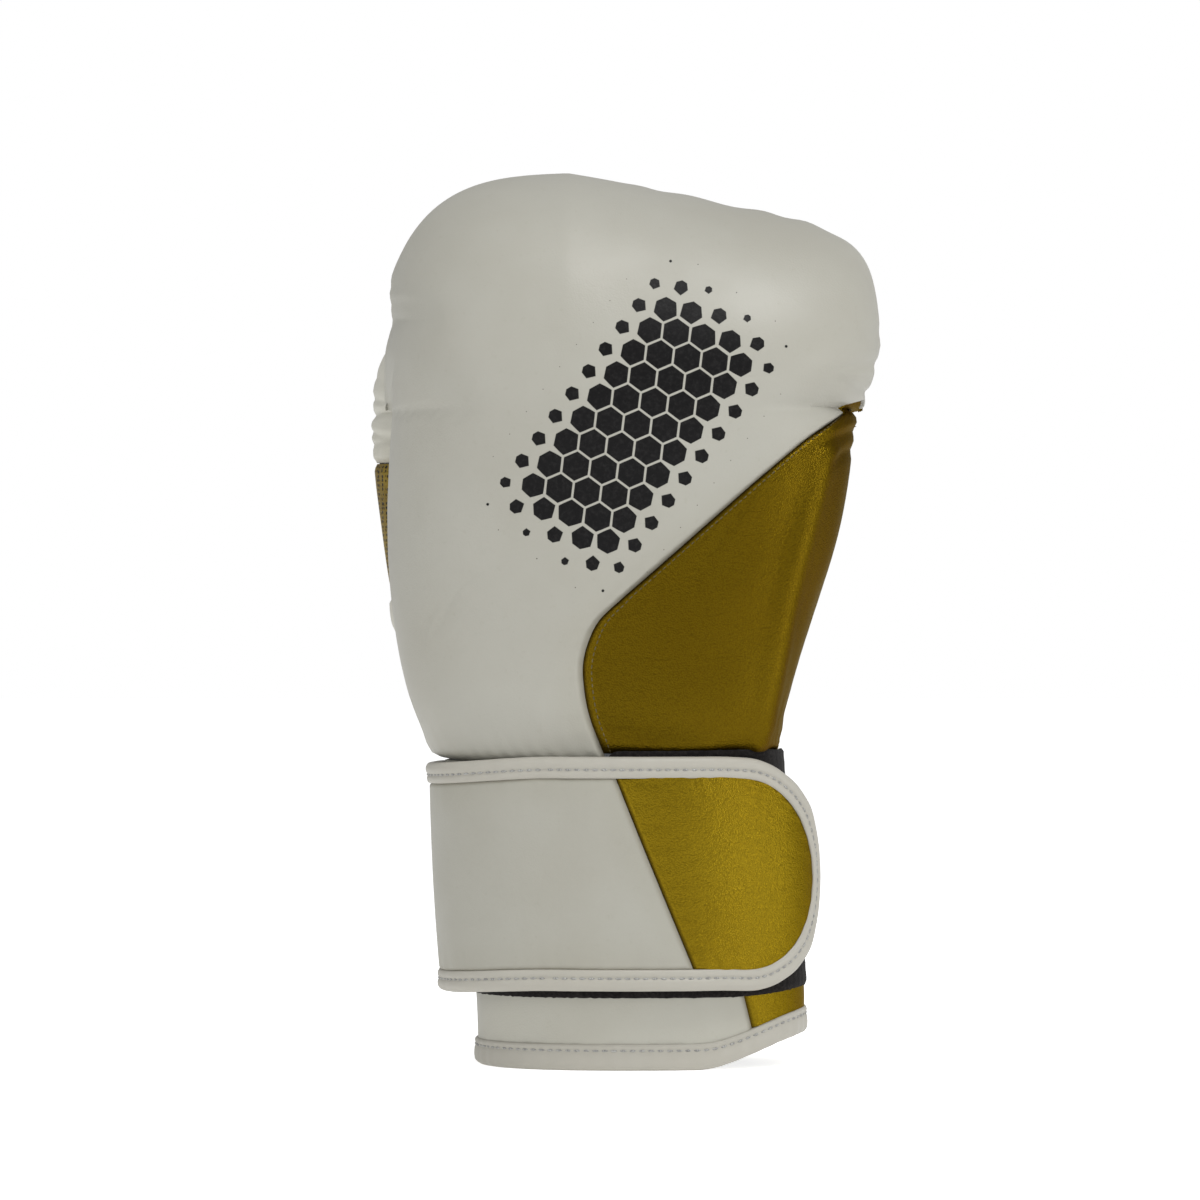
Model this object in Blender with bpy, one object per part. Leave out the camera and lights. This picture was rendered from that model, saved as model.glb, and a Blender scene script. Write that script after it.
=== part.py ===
"""A right-hand boxing glove with a hook-and-loop wrist strap, standing on its cuff.

The glove is a padded tube with a hand-shaped pocket. Every pad, leather panel and lining is a layer of
the same wall, so each one is cut from the space between an outer form and a pocket form:

    hand and cuff   level rings at height z
    fingers         D-shaped sections that fan round the grip bar, from the back over the top to the palm
    thumb           level rings round a leaning spine
    strap           upright layers along a path round the cuff

X points to the little finger, -Y out of the back of the hand, +Z to the knuckles. All lengths are in
millimetres and become metres where a mesh is made. Angles are in degrees.
"""

import math

import bmesh
import bpy
import numpy as np
from mathutils import Matrix

MM = 0.001

# ---------------------------------------------------------------- driving dimensions
GRIP_Y, GRIP_Z = 15.0, 220.0  # the grip bar, about which the fingers curl
GRIP_RADIUS = 8.0
MIDDLE_Y = 12.1  # the middle of the glove's depth, which becomes y = 0
LEATHER = 1.5
LINING = 1.3
GAP = 0.3  # between touching layers
CUFF_TOP = 103.0
HAND_BOTTOM = 104.0
HAND_TOP = 218.5
PALM_TOP = 196.0
FAN_START, FAN_END = 5.5, 206.0  # the fingers' first and last section
STRAP_BOTTOM, STRAP_TOP = 26.0, 102.0  # a three-inch strap
STRAP_FACE = 5.2  # how far the strap's outer face stands off its path
RIM_RISE = 11.0  # the cuff's rim lifts by this much at the little-finger side

# ---------------------------------------------------------------- colours: base colour, roughness, metallic
WHITE_LEATHER = ("white_leather", (0.56, 0.55, 0.49), 0.50, 0.0)
GOLD_LEATHER = ("gold_leather", (0.42, 0.30, 0.03), 0.38, 0.85)
GOLD_MESH = ("gold_mesh", (0.30, 0.22, 0.03), 0.60, 0.5)
WHITE_BINDING = ("white_binding", (0.60, 0.60, 0.57), 0.45, 0.0)
BLACK_LOOP = ("black_loop", (0.012, 0.012, 0.014), 0.95, 0.0)
BLACK_ELASTIC = ("black_elastic", (0.018, 0.018, 0.020), 0.85, 0.0)
BLACK_HOOK = ("black_hook", (0.015, 0.015, 0.016), 0.70, 0.0)
FOAM = ("foam", (0.22, 0.23, 0.25), 0.90, 0.0)
FIRM_FOAM = ("firm_foam", (0.10, 0.12, 0.16), 0.85, 0.0)
LINING_CLOTH = ("lining_cloth", (0.03, 0.03, 0.035), 0.90, 0.0)


def spline(*stations):
    """A smooth curve through (position, value) stations."""
    xs, ys = (np.array(column, float) for column in zip(*stations))
    slopes = np.gradient(ys, xs)

    def at(x):
        x = min(max(x, xs[0]), xs[-1])
        i = min(int(np.searchsorted(xs, x, side="right")) - 1, len(xs) - 2)
        h = xs[i + 1] - xs[i]
        t = (x - xs[i]) / h
        rise = ys[i] * (1 + 2 * t) * (1 - t) ** 2 + ys[i + 1] * t * t * (3 - 2 * t)
        return rise + h * t * (1 - t) * (slopes[i] * (1 - t) - slopes[i + 1] * t)

    return at


# ------------------------------------------------------------ outer form of the cuff and hand, by height
OUTER = {
    "left": spline((0, 49), (25, 50), (60, 54.5), (90, 57.4), (98, 59.2), (101.5, 60.3), (103, 60.9), (104.3, 63.9),
                   (107, 66), (112, 67.8), (122, 71.6), (134, 74.8), (150, 77.5), (170, 79.3), (200, 79),
                   (220, 77.5)),
    "right": spline((0, 60), (25, 60.5), (60, 57), (100, 53), (112, 52.4), (118, 53.2), (130, 56), (150, 62.3),
                    (170, 69.5), (190, 74.2), (206, 76.4), (214, 76.4), (220, 74.5)),
    "back": spline((0, 40), (60, 42), (100, 42), (112, 43.5), (130, 47), (160, 54), (190, 60), (220, 66)),
    "palm": spline((0, 40), (60, 42), (112, 42), (130, 42), (150, 36), (170, 27), (190, 17), (206, 11),
                   (220, 8)),
    "side_y": spline((0, 0), (110, 0), (150, 7), (190, 13), (220, GRIP_Y)),
    "power": spline((0, 2.3), (110, 2.4), (160, 2.7), (220, 2.9)),
    # the gold side turns round a tighter corner than the rest
    "corner_power": spline((0, 2.3), (50, 2.35), (85, 2.4), (98, 2.4), (104, 2.7), (110, 3.4), (118, 4.0),
                           (160, 4.2), (200, 3.8), (220, 3.0)),
}
# how thick the wall is on each side, leather to lining
WALL = {
    "left": spline((0, 8.5), (100, 9), (130, 17), (170, 29), (220, 30)),
    "right": spline((0, 8.5), (100, 9), (130, 12), (170, 24), (220, 30)),
    "back": spline((0, 8.5), (100, 9.5), (130, 15), (170, 21), (220, 25)),
    "palm": spline((0, 8.5), (100, 9.5), (130, 13), (206, 12), (220, 8)),
}
# ------------------------------------------------------------ the fingers' sections, by angle round the grip bar
FINGERS = {
    "left": spline((0, 77.5), (30, 78), (60, 79.8), (75, 80), (84, 76.5), (90, 70.5), (97, 62), (108, 53),
                   (120, 47), (135, 41), (150, 38), (206, 36)),
    "right": spline((0, 74.5), (7, 78.5), (14, 82.5), (24, 84.8), (40, 85.6), (60, 85.9), (90, 85), (120, 80),
                    (150, 74), (180, 69), (206, 64)),
    "reach": spline((0, 66), (30, 71.5), (60, 78.5), (90, 80.6), (120, 75), (150, 67), (180, 60), (206, 55)),
    "left_power": spline((0, 2.9), (60, 3.8), (90, 4.2), (150, 2.8), (206, 2.6)),
    "right_power": spline((0, 3.0), (60, 5.6), (90, 7.2), (150, 3.6), (206, 3.0)),
    "slope": spline((0, 0), (45, 0.7), (90, 1.0), (140, 0.6), (206, 0)),
    "wall_side": spline((0, 30), (90, 31), (150, 24), (206, 20)),
    "wall_reach": spline((0, 25), (60, 34), (90, 38), (150, 34), (206, 28)),
}
KNUCKLE_SLOPE = 0.0023  # the knuckle line falls this share of the reach per millimetre to the right
KNUCKLE_PEAK_X = -15.0

# ---------------------------------------------------------------- the thumb, by height
THUMB = {
    "x": spline((130, -51), (155, -58), (180, -61.6), (212, -63.9), (254, -62.9)),
    "y": spline((130, 24), (155, 31), (180, 36), (212, 40), (254, 42)),
    "radius": spline((130, 20), (155, 20.6), (180, 21.3), (212, 22.4), (226, 21.8)),
}
THUMB_BASE, THUMB_DOME, THUMB_TOP = 130.0, 226.0, 253.0
THUMB_WALL = 10.5
THUMB_GOLD_TOP = 203.0

# ---------------------------------------------------------------- the strap's path round the cuff
# ring angle, and how far the path stands off the cuff there: from the palm, by the thumb side, to the back
STRAP_PATH = [(252, -1.1), (270, -1.1), (288, -1.1), (306, -1.2), (324, -1.3), (342, -1.3), (360, -1.3),
              (378, 0.4), (396, 1.3), (414, 1.4), (432, 1.4), (450, 1.4), (468, 1.4), (484, 1.4), (498, 1.4),
              (512, 1.4), (526, 1.4)]


def ring_point(sides, centre_y, power, angle):
    """A point of a rounded section. 0 is the thumb side, 90 the back, 180 the little finger, 270 the palm."""
    left, right, back, palm = sides
    c, s = math.cos(math.radians(angle)), math.sin(math.radians(angle))
    k = (abs(c) ** power + abs(s) ** power) ** (-1 / power)
    return -(left if c > 0 else right) * k * c, centre_y - (back if s > 0 else palm) * k * s


def between(outer, inner, depth):
    """The point at a depth below the outer form, on the way to the pocket form."""
    outer, inner = np.array(outer), np.array(inner)
    thickness = np.linalg.norm(inner - outer)
    return outer + (inner - outer) * depth(thickness) / thickness


def hand_point(z, angle, depth):
    """A point in the wall of the cuff or hand. depth turns the wall's thickness into a depth in it."""
    sides = [OUTER[side](z) for side in ("left", "right", "back", "palm")]
    inner = [side - WALL[name](z) for side, name in zip(sides, ("left", "right", "back", "palm"))]
    centre_y, power = OUTER["side_y"](z), OUTER["power"](z)
    corner_power = OUTER["corner_power"](z) if 90 < angle % 360 < 180 else power
    outer_xy = ring_point(sides, centre_y, corner_power, angle)
    inner_xy = ring_point(inner, centre_y, power, angle)
    return between((*outer_xy, z), (*inner_xy, z), depth)


def finger_point(theta, angle, depth):
    """A point in the fingers' wall: theta turns round the grip bar, angle runs across from the thumb side."""
    form = {name: curve(theta) for name, curve in FINGERS.items()}
    c, s = math.cos(math.radians(angle)), math.sin(math.radians(angle))
    power = form["left_power"] if c > 0 else form["right_power"]
    side = form["left"] if c > 0 else form["right"]
    k = (abs(c) ** power + abs(s) ** power) ** (-1 / power)
    sections = []
    for wall_side, wall_reach in ((0, 0), (form["wall_side"], form["wall_reach"])):
        x = -(side - wall_side) * k * c
        fall = 1 - form["slope"] * KNUCKLE_SLOPE * max(0.0, x - KNUCKLE_PEAK_X)
        sections.append((x, (form["reach"] * fall - wall_reach) * k * s))
    x, reach = between(*sections, depth)
    return fan_point(x, reach, theta)


def fan_point(x, reach, theta, past=0.0):
    """A point at a distance from the grip bar's axis. past moves it square to the section, onwards."""
    c, s = math.cos(math.radians(theta)), math.sin(math.radians(theta))
    return np.array((x, GRIP_Y - reach * c + past * s, GRIP_Z + reach * s + past * c))


def thumb_point(z, angle, inset):
    """A point of the thumb, inset below its leather. The dome closes both the outer form and the pocket."""
    top = THUMB_TOP - inset
    z = THUMB_BASE + (z - THUMB_BASE) * (top - THUMB_BASE) / (THUMB_TOP - THUMB_BASE)
    radius = THUMB["radius"](z) - inset
    if z > THUMB_DOME:
        radius *= math.sqrt(max(0.0, 1 - ((z - THUMB_DOME) / (top - THUMB_DOME)) ** 2))
    a = math.radians(angle)
    return np.array((THUMB["x"](z) - radius * math.cos(a), THUMB["y"](z) - radius * math.sin(a), z))


def angle_at_x(z, x, low, high):
    """The ring angle between low and high where the outer form passes x."""
    rising = hand_point(z, high, SURFACE)[0] > hand_point(z, low, SURFACE)[0]
    for _ in range(30):
        middle = (low + high) / 2
        if (hand_point(z, middle, SURFACE)[0] < x) == rising:
            low = middle
        else:
            high = middle
    return (low + high) / 2


# ---------------------------------------------------------------- the wall's layers, outside in
def below(depth):
    return lambda thickness: depth


def above_pocket(height):
    return lambda thickness: thickness - height


SURFACE = below(0)
LEATHER_LAYER = (SURFACE, below(LEATHER))
PAD_LAYER = (below(LEATHER + GAP), above_pocket(LINING + 0.5))
LINING_LAYER = (above_pocket(LINING), above_pocket(0))


# ---------------------------------------------------------------- mesh building
def material(finish):
    name, colour, roughness, metallic = finish
    made = bpy.data.materials.get(name)
    if made is None:
        made = bpy.data.materials.new(name)
        made.use_nodes = True
        shader = made.node_tree.nodes["Principled BSDF"]
        shader.inputs["Base Color"].default_value = (*colour, 1)
        shader.inputs["Roughness"].default_value = roughness
        shader.inputs["Metallic"].default_value = metallic
    return made


def add_object(name, mesh_builder, finish, hinge=None):
    """An object from a bmesh in millimetres, faces outwards, its origin on its joint's axis if it moves."""
    origin = np.array(hinge or (0.0, 0.0, 0.0))
    bmesh.ops.translate(mesh_builder, vec=-origin, verts=mesh_builder.verts)
    bmesh.ops.scale(mesh_builder, vec=(MM, MM, MM), verts=mesh_builder.verts)
    bmesh.ops.recalc_face_normals(mesh_builder, faces=mesh_builder.faces)
    if mesh_builder.calc_volume(signed=True) < 0:
        bmesh.ops.reverse_faces(mesh_builder, faces=mesh_builder.faces)
    mesh = bpy.data.meshes.new(name)
    mesh_builder.to_mesh(mesh)
    mesh_builder.free()
    mesh.shade_smooth()
    mesh.set_sharp_from_angle(angle=math.radians(40))
    made = bpy.data.objects.new(name, mesh)
    made.location = (origin - (0, MIDDLE_Y, 0)) * MM
    made.data.materials.append(material(finish))
    bpy.context.scene.collection.objects.link(made)
    return made


def grid_faces(builder, rows, closed=False):
    """Quads between neighbouring rows of vertices, joined round if the rows are closed rings."""
    for lower, upper in zip(rows, rows[1:]):
        count = len(lower)
        for i in range(count if closed else count - 1):
            j = (i + 1) % count
            builder.faces.new((lower[i], lower[j], upper[j], upper[i]))


def stations(rows, low, high, step):
    """A function giving each row's columns: the stations every layer shares, and the row's two ends."""
    lows, highs = [low(row) for row in rows], [high(row) for row in rows]
    first = math.ceil((max(lows) + 0.2 * step) / step)
    last = math.floor((min(highs) - 0.2 * step) / step)
    shared = [k * step for k in range(first, last + 1)] or [(max(lows) + min(highs)) / 2]
    before = max(1, math.ceil((shared[0] - min(lows)) / step * (1.0 if low.fixed else 1.7)))
    after = max(1, math.ceil((max(highs) - shared[-1]) / step * (1.0 if high.fixed else 1.7)))

    def columns(row):
        run_in = spread(low(row), shared[0], before + 1)[:-1]
        run_out = spread(shared[-1], high(row), after + 1)[1:]
        return [*run_in, *shared, *run_out]

    return columns


class Edge:
    """One end of a piece: the same for every row, or moving with the row."""

    def __init__(self, value):
        self.fixed = not callable(value)
        self.value = value

    def __call__(self, row):
        return self.value if self.fixed else self.value(row)


def layer(name, rows, columns, point, depths, finish, hinge=None):
    """A solid slab: point(row, column, depth) on a grid, between two depths. columns(row) gives a list."""
    builder = bmesh.new()
    faces = [
        [[builder.verts.new(point(row, column, depth)) for column in columns(row)] for row in rows]
        for depth in depths
    ]
    for side in faces:
        grid_faces(builder, side)
    outer, inner = faces
    for edge in (0, -1):
        grid_faces(builder, [outer[edge], inner[edge]])
        grid_faces(builder, [[row[edge] for row in outer], [row[edge] for row in inner]])
    return add_object(name, builder, finish, hinge)


def spread(low, high, count):
    return np.linspace(low, high, count)


# ---------------------------------------------------------------- the hand
# where the white leather ends and the gold begins, on the cuff and then up the back of the hand
CUFF_SEAM = [(44.5, -5.0), (23.5, 103.5)]
GOLD_SEAM = spline((98, -4), (104, -6.5), (110, -8.9), (117, -11.6), (127, -13.6), (135, -13.9), (142, -12.2),
                   (149.7, -8.2), (156, -1.5), (164.7, 8.5), (179.5, 25.3), (194, 42), (208, 58.8), (219, 72),
                   (224, 77))


def seam_cutter(name, offset):
    """A block over all that is on the gold side of the seam. It cuts the white leather and keeps the gold."""
    builder = bmesh.new()
    up_the_hand = [(GOLD_SEAM(z), z) for z in (103.5, *spread(106, HAND_TOP, 14), 230)]
    outline = [*CUFF_SEAM, *up_the_hand, (120, 230), (120, -5)]
    near, far = ([builder.verts.new((x + offset, y, z)) for x, z in outline] for y in (-110.0, 30.0))
    builder.faces.new(near)
    builder.faces.new(far)
    grid_faces(builder, [near, far], closed=True)
    cutter = add_object(name, builder, WHITE_LEATHER)
    cutter.hide_render = True
    cutter.display_type = "WIRE"
    return cutter


def trim(piece, cutter, operation):
    cut = piece.modifiers.new("seam", "BOOLEAN")
    cut.operation = operation
    cut.solver = "EXACT"
    cut.object = cutter


def palm_thumb_edge(z):
    """The palm's thumb-side edge: it keeps clear of the thumb."""
    edge_z = max(z, THUMB_BASE)
    return THUMB["x"](edge_z) + THUMB["radius"](edge_z) + 2.5


ANGLE_STEP = 10.0  # the ring angle between the columns all layers share


def wall_piece(name, heights, low, high, depths, finish, point=hand_point, hinge=None):
    columns = stations(heights, Edge(low), Edge(high), ANGLE_STEP)
    return layer(name, heights, columns, point, depths, finish, hinge)


def palm_end(z):
    return angle_at_x(z, palm_thumb_edge(z), 182, 358)


def build_hand(white_cutter, gold_cutter):
    hand = spread(HAND_BOTTOM, HAND_TOP, 9)
    palm = spread(HAND_BOTTOM, PALM_TOP, 8)

    white = wall_piece("back_panel", hand, 3, 179.7, LEATHER_LAYER, WHITE_LEATHER)
    trim(white, white_cutter, "DIFFERENCE")
    gold = wall_piece("gold_side_panel", hand, 70, 179.7, LEATHER_LAYER, GOLD_LEATHER)
    trim(gold, gold_cutter, "INTERSECT")
    wall_piece("palm_gold_gusset", palm, 180.3, 219.7, LEATHER_LAYER, GOLD_LEATHER)
    wall_piece("palm_panel", palm, 220.3, palm_end, LEATHER_LAYER, WHITE_LEATHER)
    wall_piece("thenar_panel", spread(HAND_BOTTOM, 121, 3), 306, 359, LEATHER_LAYER, WHITE_LEATHER)
    vent_layer = (below(-1.2), below(-GAP))
    wall_piece("palm_vent_mesh", spread(132, 186, 6), 240, 280, vent_layer, GOLD_MESH)
    wall_piece("back_pad", hand, 40.3, 149.7, PAD_LAYER, FOAM)
    wall_piece("side_pad_thumb", hand, 7, 39.7, PAD_LAYER, FOAM)
    corner_layer = (below(LEATHER + 2 * GAP), PAD_LAYER[1])
    wall_piece("side_pad_little", hand, 150.3, 179.7, corner_layer, FOAM)
    wall_piece("palm_pad", palm, 180.3, palm_end, PAD_LAYER, FOAM)
    wall_piece("thenar_pad", spread(HAND_BOTTOM, 121, 3), 306, 359, PAD_LAYER, FOAM)
    wall_piece("hand_lining", palm, 7, palm_end, LINING_LAYER, LINING_CLOTH)
    build_grip_bar()


def build_grip_bar():
    builder = bmesh.new()
    length, sides = 55.0, 16
    bmesh.ops.create_cone(
        builder, cap_ends=True, segments=sides, radius1=GRIP_RADIUS, radius2=GRIP_RADIUS, depth=length
    )
    rims = [edge for edge in builder.edges if abs(edge.verts[0].co.z - edge.verts[1].co.z) < 1]
    bmesh.ops.bevel(builder, geom=rims, offset=2, segments=1, affect="EDGES")
    bmesh.ops.rotate(builder, verts=builder.verts, matrix=Matrix.Rotation(math.radians(90), 3, "Y"))
    bmesh.ops.translate(builder, vec=(14.5, GRIP_Y, GRIP_Z), verts=builder.verts)
    add_object("grip_bar", builder, LINING_CLOTH)


# ---------------------------------------------------------------- the fingers
def build_fingers():
    hinge = (0.0, GRIP_Y, GRIP_Z)
    fan = spread(FAN_START, FAN_END, 17)

    def middle(thickness):
        """Halfway through the pad."""
        return (thickness + LEATHER + GAP - LINING - 0.5) / 2

    outer_pad = (PAD_LAYER[0], middle)
    inner_pad = (lambda thickness: middle(thickness) + GAP, PAD_LAYER[1])
    parts = [
        ("knuckle_panel", 30.3, 149.7, LEATHER_LAYER, WHITE_LEATHER),
        ("finger_side_panel_thumb", 6, 29.7, LEATHER_LAYER, WHITE_LEATHER),
        ("finger_side_panel_little", 150.3, 174, LEATHER_LAYER, WHITE_LEATHER),
        ("knuckle_pad_outer", 40.3, 139.7, outer_pad, FIRM_FOAM),
        ("knuckle_pad_inner", 40.3, 139.7, inner_pad, FOAM),
        ("finger_side_pad_thumb", 8, 39.3, PAD_LAYER, FOAM),
        ("finger_side_pad_little", 140.7, 172, PAD_LAYER, FOAM),
        ("finger_lining", 12, 168, LINING_LAYER, LINING_CLOTH),
    ]
    for name, low, high, depths, finish in parts:
        wall_piece(name, fan, low, high, depths, finish, finger_point, hinge)
    build_finger_underside(hinge)


def build_finger_underside(hinge):
    """The flat piece that closes the fingers on the palm side, from the grip bar to the fingertips."""
    form = {name: curve(FAN_END) for name, curve in FINGERS.items()}
    crease_reach, rim = 11.5, 2.0

    def at(share, x, past):
        side, power = (form["left"], form["left_power"]) if x < 0 else (form["right"], form["right_power"])
        reach = form["reach"] * (1 - abs(x / side) ** power) ** (1 / power) - rim
        return fan_point(x, crease_reach + (reach - crease_reach) * share, FAN_END, past)

    columns = spread(-form["left"] * 0.93, form["right"] * 0.94, 12)
    rows = spread(0, 1, 5)
    pad, panel = (8.0, 0.4), (8.0 + GAP + LEATHER, 8.0 + GAP)
    layer("finger_underside_pad", rows, lambda row: columns, at, pad, FOAM, hinge)
    layer("finger_underside_panel", rows, lambda row: columns, at, panel, WHITE_LEATHER, hinge)


# ---------------------------------------------------------------- the thumb
THUMB_HINGE = (-50.0, 24.0, 134.0)


def thumb_heights(low, high):
    """Ring heights, the same for every layer, that crowd together where the dome closes."""
    straight = [*spread(THUMB_BASE, THUMB_GOLD_TOP, 6), *spread(THUMB_GOLD_TOP, THUMB_DOME, 3)[1:]]
    dome = [THUMB_DOME + (THUMB_TOP - THUMB_DOME) * math.sin(math.radians(a)) for a in (22, 42, 60, 74)]
    inside = [z for z in [*straight, *dome] if low + 1 < z < high - 1]
    return [low, *inside, high if high < THUMB_TOP else dome[-1]]


def thumb_cup(name, low, high, outer_inset, inner_inset, finish, sides=14):
    """A thumb layer: an open tube, or a cup closed by a dome where it reaches the tip."""
    builder = bmesh.new()
    angles = spread(0, 360, sides + 1)[:-1]
    heights = thumb_heights(low, high)
    outer = [[builder.verts.new(thumb_point(z, a, outer_inset)) for a in angles] for z in heights]
    inner = [[builder.verts.new(thumb_point(z, a, inner_inset)) for a in angles] for z in heights]
    grid_faces(builder, outer, closed=True)
    grid_faces(builder, inner, closed=True)
    grid_faces(builder, [outer[0], inner[0]], closed=True)
    if high > THUMB_DOME:
        builder.faces.new(outer[-1])
        builder.faces.new(inner[-1])
    else:
        grid_faces(builder, [outer[-1], inner[-1]], closed=True)
    return add_object(name, builder, finish, THUMB_HINGE)


def build_thumb():
    pad_inset = LEATHER + GAP
    thumb_cup("thumb_tip_panel", THUMB_GOLD_TOP + GAP, THUMB_TOP, 0, LEATHER, WHITE_LEATHER)
    thumb_cup("thumb_gold_panel", THUMB_BASE, THUMB_GOLD_TOP, 0, LEATHER, GOLD_LEATHER)
    thumb_cup("thumb_pad", THUMB_BASE, THUMB_TOP, pad_inset, THUMB_WALL - LINING - GAP, FOAM)
    thumb_cup("thumb_lining", THUMB_BASE, THUMB_TOP, THUMB_WALL - LINING, THUMB_WALL, LINING_CLOTH)


# ---------------------------------------------------------------- the cuff
SLIT_LITTLE, SLIT_THUMB = 257.0, 274.0  # ring angles of the slit's two edges on the palm side
CUFF_START = SLIT_THUMB - 360
FLAP_START = 188.0
CUFF_END = FLAP_START - 1.5
CUFF_FLAP_HINGE = (59.5, 5.0, 0.0)
BINDING_HEIGHT = 9.0


def rim_z(x):
    """The height of the cuff's lower edge: level to stand on, then lifting towards the little finger."""
    t = min(max((x - 24.0) / 38.0, 0.0), 1.0)
    return RIM_RISE * t * t * (3 - 2 * t)


def cuff_point(share, angle, depth):
    """A point of the cuff wall, with share 0 at the top edge of the rim binding and 1 at the cuff's top."""
    rim = rim_z(hand_point(0, angle, SURFACE)[0]) + BINDING_HEIGHT + GAP
    return hand_point(rim + (CUFF_TOP - rim) * share, angle, depth)


def build_cuff(white_cutter, gold_cutter):
    rows = spread(0, 1, 5)

    white = wall_piece("cuff_panel", rows, CUFF_START, CUFF_END, LEATHER_LAYER, WHITE_LEATHER, cuff_point)
    trim(white, white_cutter, "DIFFERENCE")
    gold = wall_piece("cuff_gold_panel", rows, 100, CUFF_END, LEATHER_LAYER, GOLD_LEATHER, cuff_point)
    trim(gold, gold_cutter, "INTERSECT")
    wall_piece("cuff_pad_back", rows, 0.3, CUFF_END, PAD_LAYER, FOAM, cuff_point)
    wall_piece("cuff_pad_thumb", rows, CUFF_START, -0.3, PAD_LAYER, FOAM, cuff_point)
    wall_piece("cuff_lining", rows, CUFF_START, CUFF_END, LINING_LAYER, LINING_CLOTH, cuff_point)
    loop_layer = (below(-1.5), below(-GAP))
    wall_piece("loop_panel", spread(25, 103, 4), 20, 182, loop_layer, BLACK_LOOP)
    wall_piece("slit_gusset", spread(12, 97, 3), SLIT_LITTLE + 1, SLIT_THUMB - 1, (below(3.5), below(5.5)),
               BLACK_ELASTIC)
    wall_piece("cuff_flap_panel", rows, FLAP_START, SLIT_LITTLE, LEATHER_LAYER, WHITE_LEATHER, cuff_point,
               CUFF_FLAP_HINGE)
    wall_piece("cuff_flap_pad", rows, FLAP_START, SLIT_LITTLE, PAD_LAYER, FOAM, cuff_point, CUFF_FLAP_HINGE)
    wall_piece("cuff_flap_lining", rows, FLAP_START, SLIT_LITTLE, LINING_LAYER, LINING_CLOTH, cuff_point,
               CUFF_FLAP_HINGE)
    rim_binding("cuff_binding", CUFF_START, CUFF_END)
    rim_binding("cuff_flap_binding", FLAP_START, SLIT_LITTLE, CUFF_FLAP_HINGE)


def rim_binding(name, low, high, hinge=None):
    """Leather tape folded under the cuff's edge: as deep as the wall, and just proud of both its faces."""
    proud = 0.8

    def at(share, angle, depth):
        rim = rim_z(hand_point(0, angle, SURFACE)[0])
        return hand_point(rim + BINDING_HEIGHT * share, angle, depth)

    depths = (below(-proud), above_pocket(-proud))
    wall_piece(name, spread(0, 1, 2), low, high, depths, WHITE_BINDING, at, hinge)


# ---------------------------------------------------------------- the strap
class Path:
    """A smooth curve through plan points, measured by its length."""

    def __init__(self, points, steps=24):
        xs, ys = zip(*points)
        stations = range(len(points))
        curve = [spline(*zip(stations, values)) for values in (xs, ys)]
        dense = spread(0, len(points) - 1, (len(points) - 1) * steps + 1)
        self.points = np.array([(curve[0](t), curve[1](t)) for t in dense])
        steps_long = np.linalg.norm(np.diff(self.points, axis=0), axis=1)
        self.lengths = np.concatenate([[0], np.cumsum(steps_long)])
        self.total = self.lengths[-1]

    def at(self, length, out):
        """The plan point at a length along the path, moved outwards."""
        length = min(max(length, 0.0), self.total)
        here = [np.interp(length, self.lengths, self.points[:, k]) for k in (0, 1)]
        near = length - 1, length + 1
        behind, ahead = zip(*(np.interp(near, self.lengths, self.points[:, k]) for k in (0, 1)))
        tangent = np.subtract(ahead, behind)
        tangent /= np.linalg.norm(tangent)
        return here[0] + tangent[1] * out, here[1] - tangent[0] * out

    def length_at(self, x, y_sign):
        """The length where the path passes x, on the back (y_sign -1) or on the palm side (1)."""
        side = self.points[:, 1] * y_sign > 0
        nearest = np.argmin(np.where(side, abs(self.points[:, 0] - x), np.inf))
        return self.lengths[nearest]


def strap_plan():
    """The plan points the strap runs through: the widest the cuff gets at each angle, and a little more."""
    points = []
    for angle, stand in STRAP_PATH:
        rings = [hand_point(z, angle, SURFACE)[:2] for z in spread(STRAP_BOTTOM, STRAP_TOP, 5)]
        widest = max(rings, key=np.linalg.norm)
        points.append(widest * (1 + stand / np.linalg.norm(widest)))
    return points


STRAP = Path(strap_plan())
STRAP_EDGE = STRAP.lengths[np.argmin(STRAP.points[:, 0])]  # where it rounds the thumb side
PEEL_LENGTH = STRAP.length_at(27, -1)
STRAP_MIDDLE, STRAP_HALF = (STRAP_BOTTOM + STRAP_TOP) / 2, (STRAP_TOP - STRAP_BOTTOM) / 2
END_REACH = 34.0  # how long the strap's round end is
BINDING_WIDTH = 7.0
LENGTH_STEP = 6.0  # the length between the columns all of the strap's layers share
HINGE_GAP = 1.2  # a slot between the strap's two rigid parts at each fold


def round_end(z, inset):
    """The length along the path where the strap's round end finishes, at a height."""
    height = min(abs(z - STRAP_MIDDLE) / (STRAP_HALF - inset), 1.0)
    return STRAP.total - END_REACH + (END_REACH - inset) * math.sqrt(1 - height ** 2.2)


def strap_point(length, z, out):
    x, y = STRAP.at(length, out)
    return np.array((x, y, z))


def strap_at(z, length, out):
    return strap_point(length, z, out)


def strap_piece(name, start, end, inset, outs, finish, hinge, rows=5):
    """A layer of strap between two lengths, each a number or a function of height, inset from its edges."""
    low, high = STRAP_BOTTOM + inset, STRAP_TOP - inset
    heights = STRAP_MIDDLE + (high - low) / 2 * np.sin(np.radians(spread(-90, 90, rows)))
    columns = stations(heights, Edge(start), Edge(end), LENGTH_STEP)
    return layer(name, heights, columns, strap_at, outs, finish, hinge)


def strap_seam(offset):
    """The strap's white and gold leather meet on a line that leans to the little finger as it goes down."""
    return lambda z: STRAP.length_at(0, -1) + (97.5 - z) * 0.4 - 4.0 + offset


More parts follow.
